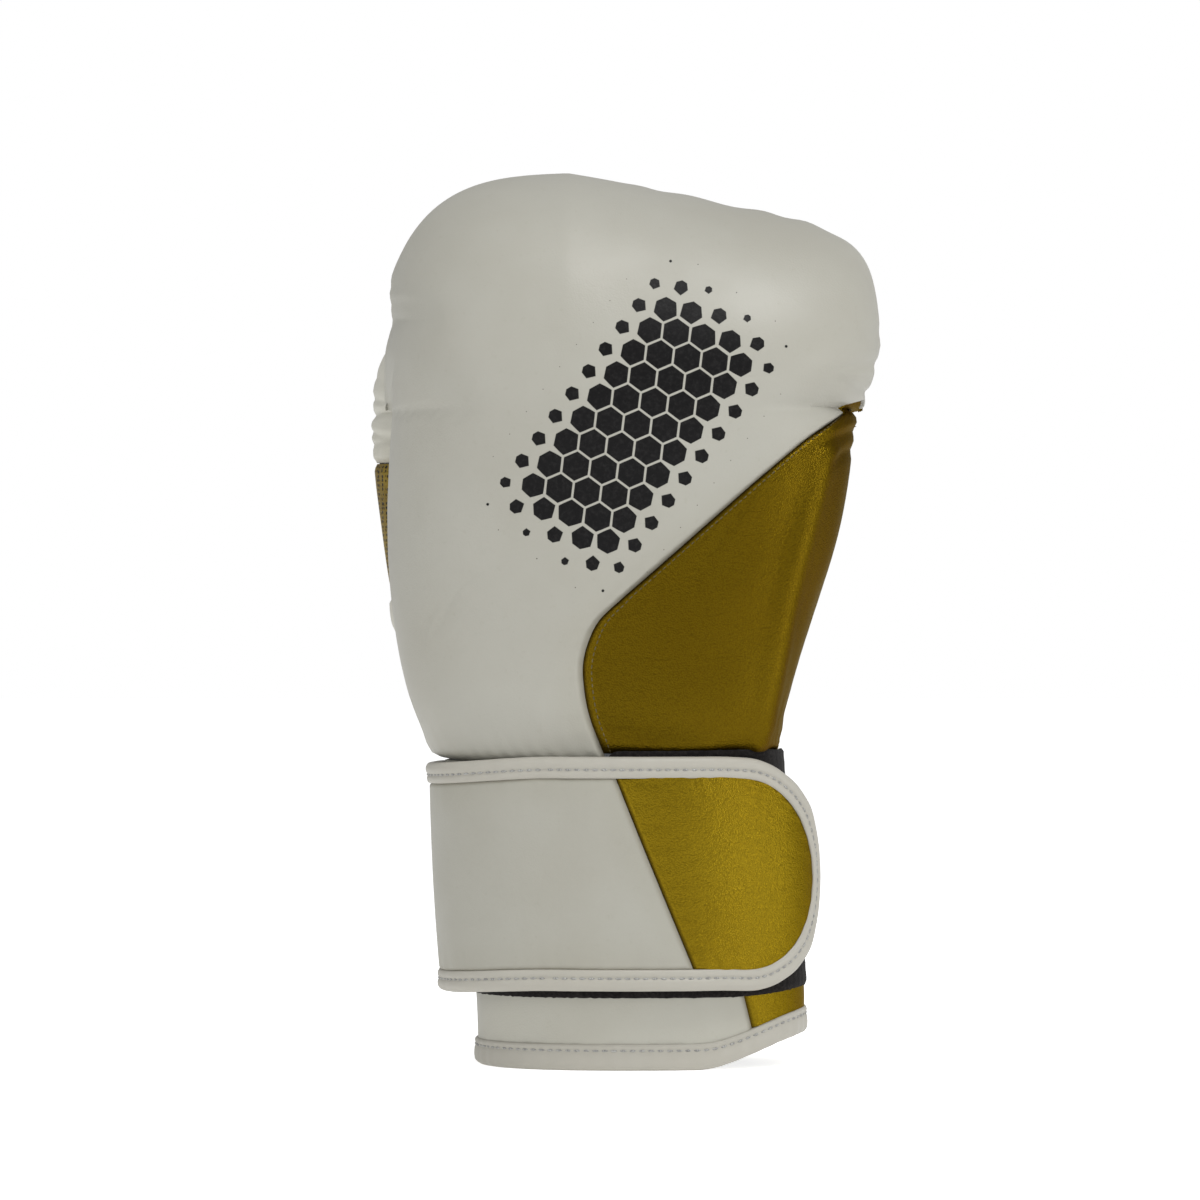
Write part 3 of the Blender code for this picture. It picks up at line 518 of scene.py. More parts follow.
class Shader:
    """A few words for building node materials."""

    def __init__(self, name, roughness=0.5, metallic=0.0, **sockets):
        self.material = bpy.data.materials.new(name)
        self.material.use_nodes = True
        self.tree = self.material.node_tree
        self.bsdf = self.tree.nodes["Principled BSDF"]
        self.bsdf.inputs["Roughness"].default_value = roughness
        self.bsdf.inputs["Metallic"].default_value = metallic
        for key, value in sockets.items():
            self.bsdf.inputs[key.replace("_", " ")].default_value = value
        rest = self.tree.nodes.new("ShaderNodeAttribute")
        rest.attribute_name = "rest"
        self.place = rest.outputs["Vector"]

    def node(self, kind, **settings):
        made = self.tree.nodes.new(kind)
        for key, value in settings.items():
            setattr(made, key, value)
        return made

    def link(self, source, target):
        if isinstance(source, (int, float)):
            target.default_value = source
        else:
            self.tree.links.new(source, target)

    def attribute(self, name):
        return self.node("ShaderNodeAttribute", attribute_name=name).outputs["Fac"]

    def object_place(self):
        self.place = self.node("ShaderNodeTexCoord").outputs["Object"]

    def noise(self, scale, detail=2.0, roughness=0.5, stretch=None):
        made = self.node("ShaderNodeTexNoise")
        made.inputs["Scale"].default_value = scale
        made.inputs["Detail"].default_value = detail
        made.inputs["Roughness"].default_value = roughness
        self.link(self.stretched(stretch), made.inputs["Vector"])
        return made.outputs["Fac"]

    def cells(self, scale, scatter=1.0):
        made = self.node("ShaderNodeTexVoronoi", feature="F1")
        made.inputs["Scale"].default_value = scale
        made.inputs["Randomness"].default_value = scatter
        self.link(self.place, made.inputs["Vector"])
        return made.outputs["Distance"]

    def stretched(self, stretch):
        if stretch is None:
            return self.place
        made = self.node("ShaderNodeMapping")
        made.inputs["Scale"].default_value = stretch
        self.link(self.place, made.inputs["Vector"])
        return made.outputs["Vector"]

    def axis(self, which):
        made = self.node("ShaderNodeSeparateXYZ")
        self.link(self.place, made.inputs[0])
        return made.outputs[which]

    def math(self, operation, a, b=0.0):
        made = self.node("ShaderNodeMath", operation=operation)
        self.link(a, made.inputs[0])
        self.link(b, made.inputs[1])
        return made.outputs[0]

    def band(self, value, low, high, start=0.0, end=1.0):
        made = self.node("ShaderNodeMapRange", interpolation_type="SMOOTHSTEP")
        self.link(value, made.inputs["Value"])
        for key, number in zip(("From Min", "From Max", "To Min", "To Max"), (low, high, start, end)):
            made.inputs[key].default_value = number
        return made.outputs["Result"]

    def mix(self, share, a, b):
        made = self.node("ShaderNodeMix", data_type="RGBA")
        self.link(share, made.inputs["Factor"])
        for colour, socket in ((a, made.inputs["A"]), (b, made.inputs["B"])):
            if isinstance(colour, tuple):
                socket.default_value = (*colour, 1)
            else:
                self.link(colour, socket)
        return made.outputs["Result"]

    def along(self, direction, offset):
        """The distance of a point along a direction, in metres."""
        made = self.node("ShaderNodeVectorMath", operation="DOT_PRODUCT")
        self.link(self.place, made.inputs[0])
        made.inputs[1].default_value = direction
        return self.math("SUBTRACT", made.outputs["Value"], offset)

    def honeycomb_print(self):
        """1 inside a slanting band of printed hexagons, which shrink away towards its edges and ends."""
        u, v = (self.along(way, sum(a * b for a, b in zip(way, PRINT_CENTRE)))
                for way in (PRINT_ALONG, PRINT_ACROSS))
        nearest = None
        for shift in (0.0, 0.5):
            parts = []
            for value, size in ((u, PRINT_PITCH), (v, PRINT_PITCH * math.sqrt(3))):
                cell = self.math("FRACT", self.math("ADD", self.math("DIVIDE", value, size), shift))
                from_middle = self.math("ABSOLUTE", self.math("SUBTRACT", cell, 0.5))
                parts.append(self.math("MULTIPLY", from_middle, size))
            slanted = self.math("ADD", self.math("MULTIPLY", parts[0], 0.5),
                                self.math("MULTIPLY", parts[1], math.sqrt(3) / 2))
            reach = self.math("MAXIMUM", parts[0], slanted)
            nearest = reach if nearest is None else self.math("MINIMUM", nearest, reach)
        side = self.band(self.math("ABSOLUTE", v), 0.012, 0.036, 1.0, 0.0)
        ends = self.band(self.math("ABSOLUTE", u), 0.034, 0.060, 1.0, 0.0)
        strength = self.math("SUBTRACT", self.math("MULTIPLY", side, ends), 0.05)
        size = self.math("MULTIPLY", strength, 0.485 * PRINT_PITCH)
        front = self.band(self.axis(1), -0.012, -0.008, 1.0, 0.0)
        inside = self.band(self.math("SUBTRACT", size, nearest), -0.00012, 0.00012)
        return self.math("MULTIPLY", inside, front)

    def colour(self, source):
        self.link(source, self.bsdf.inputs["Base Color"])

    def roughness(self, source):
        self.link(source, self.bsdf.inputs["Roughness"])

    def bump(self, *layers):
        """layers are (height, distance in metres, strength), stacked."""
        normal = None
        for height, distance, strength in layers:
            made = self.node("ShaderNodeBump")
            made.inputs["Distance"].default_value = distance
            made.inputs["Strength"].default_value = strength
            self.link(height, made.inputs["Height"])
            if normal is not None:
                self.link(normal, made.inputs["Normal"])
            normal = made.outputs["Normal"]
        self.link(normal, self.bsdf.inputs["Normal"])


def tinted(colour, factor):
    """A colour times a number, or times a number for each channel."""
    factors = factor if isinstance(factor, tuple) else (factor,) * 3
    return tuple(min(1.0, c * f) for c, f in zip(colour, factors))


def white_leather(name, colour, printed=False, grain=1.0):
    """Smooth coated leather: very fine grain, faint creamy clouding, painted shade in its seams and a faint
    darker, creamier tint near them.
    """
    s = Shader(name, roughness=0.46, Sheen_Weight=0.06, Specular_IOR_Level=0.4)
    clouds = s.noise(16, 3.0, 0.6)
    speckle = s.noise(420, 2.0, 0.7)
    base = s.mix(s.band(clouds, 0.3, 0.7), tinted(colour, (0.965, 0.955, 0.93)),
                 tinted(colour, (1.03, 1.03, 1.02)))
    base = s.mix(s.band(speckle, 0.60, 0.78, 0.0, 0.25), base, tinted(colour, (0.86, 0.83, 0.77)))
    seam = s.attribute("seam")
    # painted shade: the colour darkens hard within 2.4 mm of a seam, where the leather rolls into its groove
    seam_shaded = s.mix(s.band(seam, 0.0, 2.4, 0.72, 0.0), base, tinted(colour, (0.50, 0.46, 0.38)))
    # a faint darker, creamier tint out to 14 mm from the seams
    seam_shaded = s.mix(s.band(seam, 1.5, 14.0, 0.16, 0.0), seam_shaded, tinted(colour, (0.80, 0.76, 0.66)))
    gloss = s.band(s.noise(38, 2.0), 0.3, 0.7, 0.42, 0.52)
    pores = s.cells(1500)
    if printed:
        mask = s.honeycomb_print()
        ink_colour = s.mix(s.band(s.noise(700, 3.0, 0.7), 0.42, 0.75, 0.0, 0.6), (0.0065, 0.0062, 0.0065),
                           (0.022, 0.021, 0.021))
        seam_shaded = s.mix(mask, seam_shaded, ink_colour)
        gloss = s.math("SUBTRACT", gloss, s.math("MULTIPLY", mask, 0.07))
        s.link(s.math("SUBTRACT", 0.4, s.math("MULTIPLY", mask, 0.3)), s.bsdf.inputs["Specular IOR Level"])
    s.colour(seam_shaded)
    s.roughness(gloss)
    s.bump((s.noise(260, 3.0, 0.6), 0.00012 * grain, 0.5), (pores, 0.00006 * grain, 0.55))
    return s.material


def gold_leather(name, colour=(0.150, 0.098, 0.0042), dark=(0.100, 0.062, 0.0025), grain=1.0):
    """Metallic foil leather: a fine pebble that sparkles, darker in its pores, with painted shade in its
    seams.
    """
    s = Shader(name, roughness=0.36, metallic=0.92)
    # seen edge-on the foil stays gold
    s.bsdf.inputs["Specular Tint"].default_value = (0.46, 0.38, 0.12, 1.0)
    pebble = s.cells(1900)
    fine = s.noise(2600, 2.0, 0.7)
    base = s.mix(s.band(pebble, 0.1, 0.8, 0.0, 0.9), colour, dark)
    base = s.mix(s.band(fine, 0.4, 0.75, 0.0, 0.5), base, tinted(colour, (1.3, 1.25, 1.2)))
    base = s.mix(s.band(s.noise(22, 3.0), 0.3, 0.75, 0.0, 0.3), base, tinted(dark, (1.1, 1.0, 0.8)))
    seam = s.attribute("seam")
    # painted shade: near black within 1.6 mm of a seam, where the foil dips into its groove
    s.colour(s.mix(s.band(seam, 0.0, 1.6, 0.85, 0.0), base, (0.03, 0.018, 0.003)))
    s.roughness(s.band(fine, 0.2, 0.8, 0.28, 0.42))
    s.bump((s.noise(420, 2.0, 0.6), 0.00022 * grain, 0.6), (pebble, 0.00016 * grain, 0.8))
    return s.material


def gold_mesh(name):
    """Woven metallic mesh with small open cells."""
    s = Shader(name, roughness=0.55, metallic=0.6)
    holes = s.cells(640, scatter=0.3)
    open_ = s.band(holes, 0.25, 0.48)
    s.colour(s.mix(open_, (0.012, 0.010, 0.006), s.mix(s.band(s.noise(60), 0.3, 0.7), (0.19, 0.125, 0.012),
                                                       (0.26, 0.18, 0.02))))
    s.bump((open_, 0.0005, 0.9), (s.noise(1600), 0.0001, 0.5))
    return s.material


def pile(name, colour, light, scale=900.0, lift=0.0004):
    """Brushed loop or plain dark cloth: matte, with a soft fuzz."""
    s = Shader(name, roughness=0.95, Sheen_Weight=0.04, Sheen_Roughness=0.6, Specular_IOR_Level=0.12)
    fuzz = s.noise(scale, 3.0, 0.75)
    s.colour(s.mix(s.band(fuzz, 0.35, 0.75), colour, light))
    s.bump((s.noise(scale * 0.3, 2.0), lift, 0.5), (fuzz, lift * 0.6, 0.8))
    return s.material


RIB_PITCH = 0.0016


def ribbed(name, colour, light):
    """Elastic webbing: fine ribs across it and a knit between them."""
    s = Shader(name, roughness=0.85, Sheen_Weight=0.04, Specular_IOR_Level=0.2)
    rib = s.math("SINE", s.math("MULTIPLY", s.axis(2), 2 * math.pi / RIB_PITCH))
    knit = s.noise(1400, 2.0, 0.7)
    s.colour(s.mix(s.band(s.math("ADD", rib, s.math("MULTIPLY", knit, 0.8)), -0.6, 1.4), colour, light))
    s.bump((rib, 0.00035, 0.8), (knit, 0.00015, 0.6))
    return s.material


def ribbed_solid(name, colour, light):
    """The same elastic on a piece that stays as the CAD made it."""
    s = Shader(name, roughness=0.85, Sheen_Weight=0.15)
    s.object_place()
    rib = s.math("SINE", s.math("MULTIPLY", s.axis(2), 2 * math.pi / RIB_PITCH))
    s.colour(s.mix(s.band(rib, -0.6, 0.8), colour, light))
    s.bump((rib, 0.00035, 0.8))
    return s.material


def foam(name, colour):
    """Cut closed-cell foam: pale speckle and open pores."""
    s = Shader(name, roughness=0.9)
    s.object_place()
    pores = s.cells(800)
    walls = s.mix(s.noise(90, 3.0), colour, tinted(colour, 1.35))
    s.colour(s.mix(s.band(pores, 0.1, 0.5), tinted(colour, 0.55), walls))
    s.bump((pores, 0.0003, 0.7))
    return s.material


def hooks(name):
    """The stiff side of the closure: rows of small dark studs."""
    s = Shader(name, roughness=0.55)
    s.object_place()
    studs = s.cells(1100)
    s.colour(s.mix(s.band(studs, 0.15, 0.5), (0.03, 0.03, 0.032), (0.008, 0.008, 0.009)))
    s.bump((s.math("SUBTRACT", 1.0, studs), 0.0006, 0.9))
    return s.material


def cloth_lining(name, colour):
    """Plain woven lining."""
    s = Shader(name, roughness=0.92, Sheen_Weight=0.2)
    s.object_place()
    weave = s.math("MULTIPLY", s.math("SINE", s.math("MULTIPLY", s.axis(0), 5200)),
                   s.math("SINE", s.math("MULTIPLY", s.axis(2), 5200)))
    s.colour(s.mix(s.band(s.noise(120, 3.0), 0.3, 0.7), colour, tinted(colour, 1.7)))
    s.bump((weave, 0.00015, 0.6), (s.noise(700, 2.0), 0.0002, 0.5))
    return s.material


def thread(name, colour):
    """Twisted sewing thread."""
    s = Shader(name, roughness=0.7)
    twist = s.noise(2600, 1.0, 0.5, stretch=(1, 1, 0.5))
    s.colour(s.mix(s.band(twist, 0.35, 0.7), tinted(colour, 0.7), tinted(colour, 1.3)))
    s.bump((twist, 0.0001, 0.6))
    return s.material


WHITE = (0.400, 0.393, 0.348)
STRAP_WHITE = (0.385, 0.379, 0.334)
# painted light: the cuff is the same white leather as the strap, painted about 1.18 times lighter
CUFF_WHITE_PAINTED_LIGHT = (0.455, 0.448, 0.395)
TAPE = (0.64, 0.645, 0.63)
mat_hand = white_leather("hand_leather", WHITE, printed=True)
mat_white = white_leather("white_leather", WHITE)
# painted light: the thumb is the same white leather, painted 1.35 times lighter
mat_thumb_painted_light = white_leather("thumb_leather_painted_light", tinted(WHITE, 1.35))
mat_strap = white_leather("strap_leather", STRAP_WHITE)
mat_cuff_painted_light = white_leather("cuff_leather_painted_light", CUFF_WHITE_PAINTED_LIGHT)
mat_tape = white_leather("white_tape", TAPE, grain=0.7)
mat_gold = gold_leather("gold_leather")
mat_gold_strap = gold_leather("strap_gold_leather", (0.262, 0.183, 0.009), (0.178, 0.12, 0.0056))
mat_mesh = gold_mesh("gold_mesh")
mat_loop = pile("black_loop", (0.006, 0.005, 0.005), (0.022, 0.019, 0.018))
mat_elastic = ribbed("black_elastic", (0.008, 0.008, 0.009), (0.03, 0.03, 0.032))
mat_gusset = ribbed_solid("gusset_elastic", (0.008, 0.008, 0.009), (0.03, 0.03, 0.032))
mat_hooks = hooks("black_hooks")
mat_under = pile("strap_underside", (0.008, 0.008, 0.009), (0.02, 0.02, 0.022), 1500.0, 0.0002)
mat_foam = foam("foam", (0.22, 0.23, 0.25))
mat_firm = foam("firm_foam", (0.10, 0.12, 0.16))
mat_lining = cloth_lining("lining_cloth", (0.02, 0.02, 0.022))
mat_thread = thread("grey_thread", (0.34, 0.34, 0.325))
mat_gold_thread = thread("gold_thread", (0.10, 0.075, 0.02))

# ======================================================================= the hand and fingers

# the padding spans these two bodies; the two points lie at the grip bar
HAND_TO_FINGERS = ("hand", "fingers", (0.0, -0.0096, 0.1984), (0.0, 0.0054, 0.2243))
HAND_TOP, FAN_END = 219.0, 206.0
PALM_BOTTOM, PALM_TOP = 103.8, 196.5
SIDE_LIMIT = spline((216, 90), (218, 81.5), (220, 79.4), (224, 80.2), (228, 81.7), (232, 83.2), (240, 84.8),
                    (250, 90))
GOLD_RIDGE = spline((104, 44), (112.8, 45.7), (134.6, 50.4), (157.7, 54.4), (180.8, 60.5), (203.9, 66.5),
                    (219, 70))
# each fold's depth, tilt, height, width, inner edge and run-in
KNUCKLE_FOLDS = ((-1.0, 0.35, 227, 1.7, 62, 12), (0.9, 0.2, 222.5, 2.0, 66, 8),
                 (-0.8, -0.2, 235, 2.0, 66, 10), (-0.4, -0.1, 246, 2.4, 68, 10))
FOLD_TURN = 24.0  # by this turn of the fan the gold has run out to the little-finger side


def pinch(points):
    """The small squeezes of the outline: a notch at the little-finger side and a dent above the thumb."""
    x, z = points[..., 0], points[..., 2]
    right = np.clip(x / 80, 0, 1) ** 4
    left = np.clip(-x / 78, 0, 1) ** 4
    shift = 2.8 * right * smooth((z - 205) / 13) * (z < 219.5) + 2.2 * left * bump(z, 250, 7)
    shift = shift - 0.5 * left * bump(z, 265, 6)
    past = np.maximum(0.0, x + shift - SIDE_LIMIT(z))
    return points + np.stack([shift - 0.88 * past, 0 * x, 0 * z], -1)


def seam_on_fan(theta):
    start = float(angle_at_x(HAND_TOP, GOLD_SEAM(HAND_TOP)))
    return start + (178.6 - start) * smooth(np.asarray(theta, float) / FOLD_TURN)


def build_back():
    """The white leather up the back of the hand and round the fan of the fingers."""
    heights, thetas = np.linspace(101.9, HAND_TOP, 75), np.linspace(0.8, FAN_END, 132)
    t = np.linspace(0, 1, 150)
    seam_angle = angle_at_x(heights, GOLD_SEAM(heights))
    level = hand(heights[:, None], 1.0 + (seam_angle[:, None] - 1.0) * t)
    fan = fingers(thetas[:, None], 1.0 + (seam_on_fan(thetas)[:, None] - 1.0) * t)
    points = pinch(np.concatenate([level, fan]))
    x, z = points[..., 0], points[..., 2]
    turn = np.concatenate([0 * heights, thetas])[:, None]
    # the knuckle roll has small scallops where the leather is gathered over the foam
    extra = 0.4 * np.sin(x / 3.1 + np.sin(x / 9)) * bump(turn, 92, 16) * smooth((x + 5) / 20)
    extra = extra * smooth((82 - x) / 12)
    for depth, tilt, height, width, inner, run in KNUCKLE_FOLDS:
        extra = extra + depth * bump(z + tilt * (x - 80), height, width) * smooth((x - inner) / run)
    folds = bump(z, 262, 1.8) + bump(z + 0.2 * x, 241, 1.6) + 0.8 * bump(z, 250, 1.5)
    extra = extra - 0.55 * folds * smooth((-x - 62) / 10)
    drapes = np.sin((z - 104 + 0.25 * x) / 4.2 + 1.5 * np.sin(x / 17))
    extra = extra + 0.35 * drapes * bump(z, 108, 14) * smooth((x + 70) / 20)
    panel("back_and_knuckle_leather", points, ("bottom", "top", "right"), 2.2, mat_hand, HAND_TO_FINGERS,
          "white_leather",
          ("back_panel", "knuckle_panel", "finger_side_panel_thumb", "finger_side_panel_little",
           "knuckle_pad_outer", "finger_side_pad_little", "finger_side_pad_thumb"),
          fill=0.85, dip=1.5, roll=2.4, crown=0.7, pucker=0.16, wave=6.0, drift=0.35, seed=2.0, extra=extra,
          swell=4.0)


def build_gold_side():
    """The gold leather down the little-finger side, which tucks in under the fingers, and its stitches."""
    level_rows = 76
    heights, thetas = np.linspace(105.3, HAND_TOP, level_rows), np.linspace(1.0, FOLD_TURN - 1.5, 14)
    seam_angle = angle_at_x(heights, GOLD_SEAM(heights))
    t = np.linspace(0, 1, 90)
    level = hand(heights[:, None], seam_angle[:, None] + (181.0 - seam_angle[:, None]) * t)
    start, end = seam_on_fan(thetas), np.linspace(180.8, 179.4, 14)
    fan = fingers(thetas[:, None], start[:, None] + (end - start)[:, None] * t)
    gold = pinch(np.concatenate([level, fan]))
    x, y, z = gold[..., 0], gold[..., 1], gold[..., 2]
    extra = 0.0
    for depth, tilt, height, width, inner in ((-1.1, 0.4, 212, 1.9, 60), (0.8, 0.4, 216, 2.0, 62),
                                              (-0.7, 0.6, 206, 1.8, 64)):
        extra = extra + depth * bump(z - tilt * (x - 75), height, width) * smooth((x - inner) / 8)
    on_back = y < OUTER["side_y"](z) - 12
    extra = extra + 2.3 * bump(x, GOLD_RIDGE(z), 4.0) * on_back * smooth((216 - z) / 12)
    extra = extra + 0.5 * np.sin((z - 105 + 0.3 * x) / 3.4) * bump(z, 107, 9)
    face = panel("gold_side_leather", gold, ("bottom", "left", "right", "top"), 2.2, mat_gold,
                 HAND_TO_FINGERS, "gold_leather", ("gold_side_panel",), fill=0.85, dip=1.4, roll=2.2,
                 crown=0.5, pucker=0.16, wave=5.0, drift=0.25, seed=5.0, extra=extra, swell=3.0)
    line, away = face[:level_rows, 2], normals_of(face)[:level_rows, 2]
    run = stitches("gold_seam_stitches", line, away, mat_gold_thread, pitch=2.1, length=1.5, radius=0.24,
                   lift=0.05)
    hang(run, HAND_TO_FINGERS)


def palm_edge(z):
    """Where the palm leather ends beside the thumb."""
    z = np.maximum(z, THUMB_BASE)
    return THUMB["x"](z) + THUMB["radius"](z) + 0.5


def palm_angle(z):
    return angle_at_x(z, palm_edge(z), 182.0, 358.0)


def build_palm():
    t = np.linspace(0, 1, 40)
    heights = np.linspace(PALM_BOTTOM, 217.0, 76)
    spread = 39.6 - 24.0 * smooth((heights - 192) / 26)
    gusset = pinch(hand(heights[:, None], 180.2 + spread[:, None] * t))
    panel("palm_gold_gusset_leather", gusset, ALL_SIDES, 2.0, mat_gold, "hand", "gold_leather",
          ("palm_gold_gusset",), pucker=0.2, wave=6, seed=3.0)
    t = np.linspace(0, 1, 70)
    heights = np.linspace(PALM_BOTTOM, PALM_TOP, 60)
    palm = hand(heights[:, None], 220.2 + (palm_angle(heights)[:, None] - 220.2) * t)
    x, z = palm[..., 0], palm[..., 2]
    folds = -0.7 * bump(z + 0.1 * x, 150, 2.4) - 0.6 * bump(z - 0.15 * x, 176, 2.2) - 0.5 * bump(z, 120, 2.5)
    panel("palm_leather", palm, ALL_SIDES, 2.0, mat_white, "hand", "white_leather", ("palm_panel",), fill=0.7,
          crown=0.9, pucker=0.2, wave=7, seed=4.0, extra=folds * 0.8, swell=3.0)
    vent = hand(np.linspace(130, 187, 40)[:, None], 239 + 42 * np.linspace(0, 1, 44), inset=-1.5)
    panel("palm_vent", vent, ALL_SIDES, 1.4, mat_mesh, "hand", "gold_mesh", ("palm_vent_mesh",), dip=1.2,
          roll=2.0, crown=0.3, pucker=0.1, seed=6.0)
    # a known fault: the border ends on a repeated point, so the piping's last ring has no direction
    border = np.concatenate([vent[0], vent[:, -1], vent[-1, ::-1], vent[::-1, 0], vent[:1, 0]])
    hang(tube("palm_vent_piping", border, 1.0, mat_tape), "hand")


def build_underside():
    """The flat palm side of the fingers, the band round its edge, and the leather of the palm crease."""
    c, s = math.cos(math.radians(FAN_END)), math.sin(math.radians(FAN_END))

    def on_end(x, reach, past):
        """A point on the plane where the fan ends, or past it."""
        y, z = GRIP_Y - reach * c + past * s, GRIP_Z + reach * s + past * c
        return np.stack(np.broadcast_arrays(x, y, z), -1)

    share = np.linspace(0, 1, 36)[:, None]
    t = np.linspace(0, 1, 70)[None, :]
    form = {name: float(curve(FAN_END)) for name, curve in FINGERS.items()}
    x = -form["left"] * 0.985 + (form["left"] + form["right"]) * 0.985 * t
    side = np.where(x < 0, form["left"], form["right"])
    power = np.where(x < 0, form["left_power"], form["right_power"])
    outline = form["reach"] * (1 - np.abs(x / side) ** power) ** (1 / power)
    reach = 9.0 + (np.maximum(outline, 9.5) - 9.0) * share
    crown = 2.2 * np.sin(np.pi * share) * (1 - np.abs(2 * t - 1) ** 3)
    past = (10.0 - 2.2 * (1 - share)) * smooth((1 - share) / 0.16 + 0.78) + crown
    panel("finger_underside_leather", on_end(x, reach, past), ("top", "left", "right"), 1.8, mat_white,
          "fingers", "white_leather", ("finger_underside_panel",), fill=0.7, dip=1.0, roll=2.5, crown=0.4,
          pucker=0.25, wave=6, seed=7.0, swell=3.0)

    edge = fingers(FAN_END, np.linspace(2.0, 178.0, 150)[None, :])
    depth = np.linspace(-3.0, 10.6, 26)[:, None]
    reach = (edge[..., 1] - GRIP_Y) * -c + (edge[..., 2] - GRIP_Z) * s
    curl = 3.4 * smooth((depth - 5.0) / 5.6) - 0.5
    shrink = 1 - curl / np.maximum(np.hypot(edge[..., 0], reach), 12.0)
    panel("finger_edge_leather", on_end(edge[..., 0] * shrink, reach * shrink, depth), ("top", "bottom"), 1.2,
          mat_white, "fingers", "white_leather", dip=0.5, roll=1.6, crown=0.3, pucker=0.15, wave=5.5,
          seed=21.0)

    # from the palm's top edge in to the grip bar
    t = np.linspace(0, 1, 60)
    end = float(palm_angle(PALM_TOP))
    lower = hand(np.full(60, 196.0), 184 + (end - 184) * t, inset=0.8)
    inner = np.stack([np.linspace(72, -36, 60), np.full(60, GRIP_Y + 7.0), np.full(60, GRIP_Z - 7.5)], -1)
    at_side = (1 - smooth(t / 0.12))[:, None]
    inner = inner + at_side * (np.array((77.0, GRIP_Y - 1.0, GRIP_Z - 1.5)) - inner[0])
    share = np.linspace(0, 1, 16)[:, None, None]
    crease = lower * (1 - share) + inner * share + np.array((0, -2.5, 1.5)) * np.sin(np.pi * share)
    panel("palm_crease_leather", crease, ("bottom",), 1.4, mat_white, "hand", "white_leather", dip=0.6,
          crown=0.2, pucker=0.25, wave=8, seed=8.0)


# ======================================================================= the thumb

ROOT_FROM, ROOT_TO = 294.0, 364.0  # the ring angles of the cuff's edge that the thumb's root leather spans
WEB_TOP = 157.0  # where the web passes from the root leather to the thumb's barrel


def build_thumb():
    straight = np.linspace(THUMB_GOLD_TOP + 0.2, THUMB_DOME, 26)
    dome = THUMB_DOME + (THUMB_TOP - THUMB_DOME) * np.sin(np.radians(np.linspace(4, 88, 26)))
    heights = np.concatenate([straight, dome])
    angles = np.linspace(0, 360, 96, endpoint=False)
    tip = thumb(heights[:, None], angles)
    a = np.radians(angles)[None, :]
    z = tip[..., 2]
    facing = (0.5 + 0.5 * np.cos(a - math.radians(35))) ** 2  # the side that bends against the hand
    folds = 0.5 * np.sin(z / 2.1 + np.sin(2 * a)) * bump(z, 219, 9) * facing
    for centre, depth, lean in ((214, 1.1, 3), (219.5, 1.3, -2), (225.5, 1.0, 2.5), (209.5, 0.7, -1.5),
                                (233, 0.5, 3)):
        folds = folds - depth * bump(z + lean * np.sin(a), centre, 1.15) * facing
    panel("thumb_tip_leather", tip, ("bottom",), 1.8, mat_thumb_painted_light, "thumb", "white_leather",
          ("thumb_tip_panel",), fill=0.8, closed=True, capped=True, dip=1.1, roll=2.2, crown=0.4,
          pucker=0.3, wave=6.5, drift=0.3, seed=9.0, extra=folds)
    barrel = thumb(np.linspace(THUMB_BASE + 1, THUMB_GOLD_TOP - 0.2, 60)[:, None], angles)
    panel("thumb_gold_mesh", barrel, ("top", "bottom"), 1.6, mat_mesh, "thumb", "gold_mesh",
          ("thumb_gold_panel",), fill=0.8, closed=True, dip=1.0, roll=2.0, crown=0.3, pucker=0.2, wave=6.0,
          drift=0.25, seed=10.0)


def build_thumb_root():
    """The leather that runs from the cuff up over the root of the thumb."""
    t = np.linspace(0, 1, 64)
    low = hand(np.full(64, PALM_BOTTOM), ROOT_FROM + (ROOT_TO - ROOT_FROM) * t)
    high_z = 158 - 9 * np.cos(np.pi * (t - 0.42)) ** 2
    high = thumb(high_z, 196 + (398 - 196) * t, inset=-0.9)
    share = np.linspace(0, 1, 50)[:, None, None]
    bulge = np.stack([-1.5 * np.sin(np.pi * t), 5.0 * np.sin(np.pi * t), 0 * t], -1) * np.sin(np.pi * share)
    root = low * (1 - smooth(share)) + high * smooth(share) + bulge
    root[..., 2] = low[:, 2] * (1 - share[..., 0]) + high[:, 2] * share[..., 0]
    z = root[..., 2]
    folds = -0.8 * bump(z + 6 * np.cos(3 * t), 128, 2.2) - 0.6 * bump(z - 5 * t, 141, 2.0)
    panel("thumb_root_leather", root, ("bottom", "top", "left"), 1.4, mat_thumb_painted_light,
          ("hand", "thumb", (-0.050, 0.0, 0.116), (-0.056, 0.0, 0.150)), "white_leather",
          ("thenar_panel", "thenar_pad"), fill=0.75, dip=1.1, roll=2.2, crown=0.6, pucker=0.25, wave=7,
          seed=11.0, extra=folds)


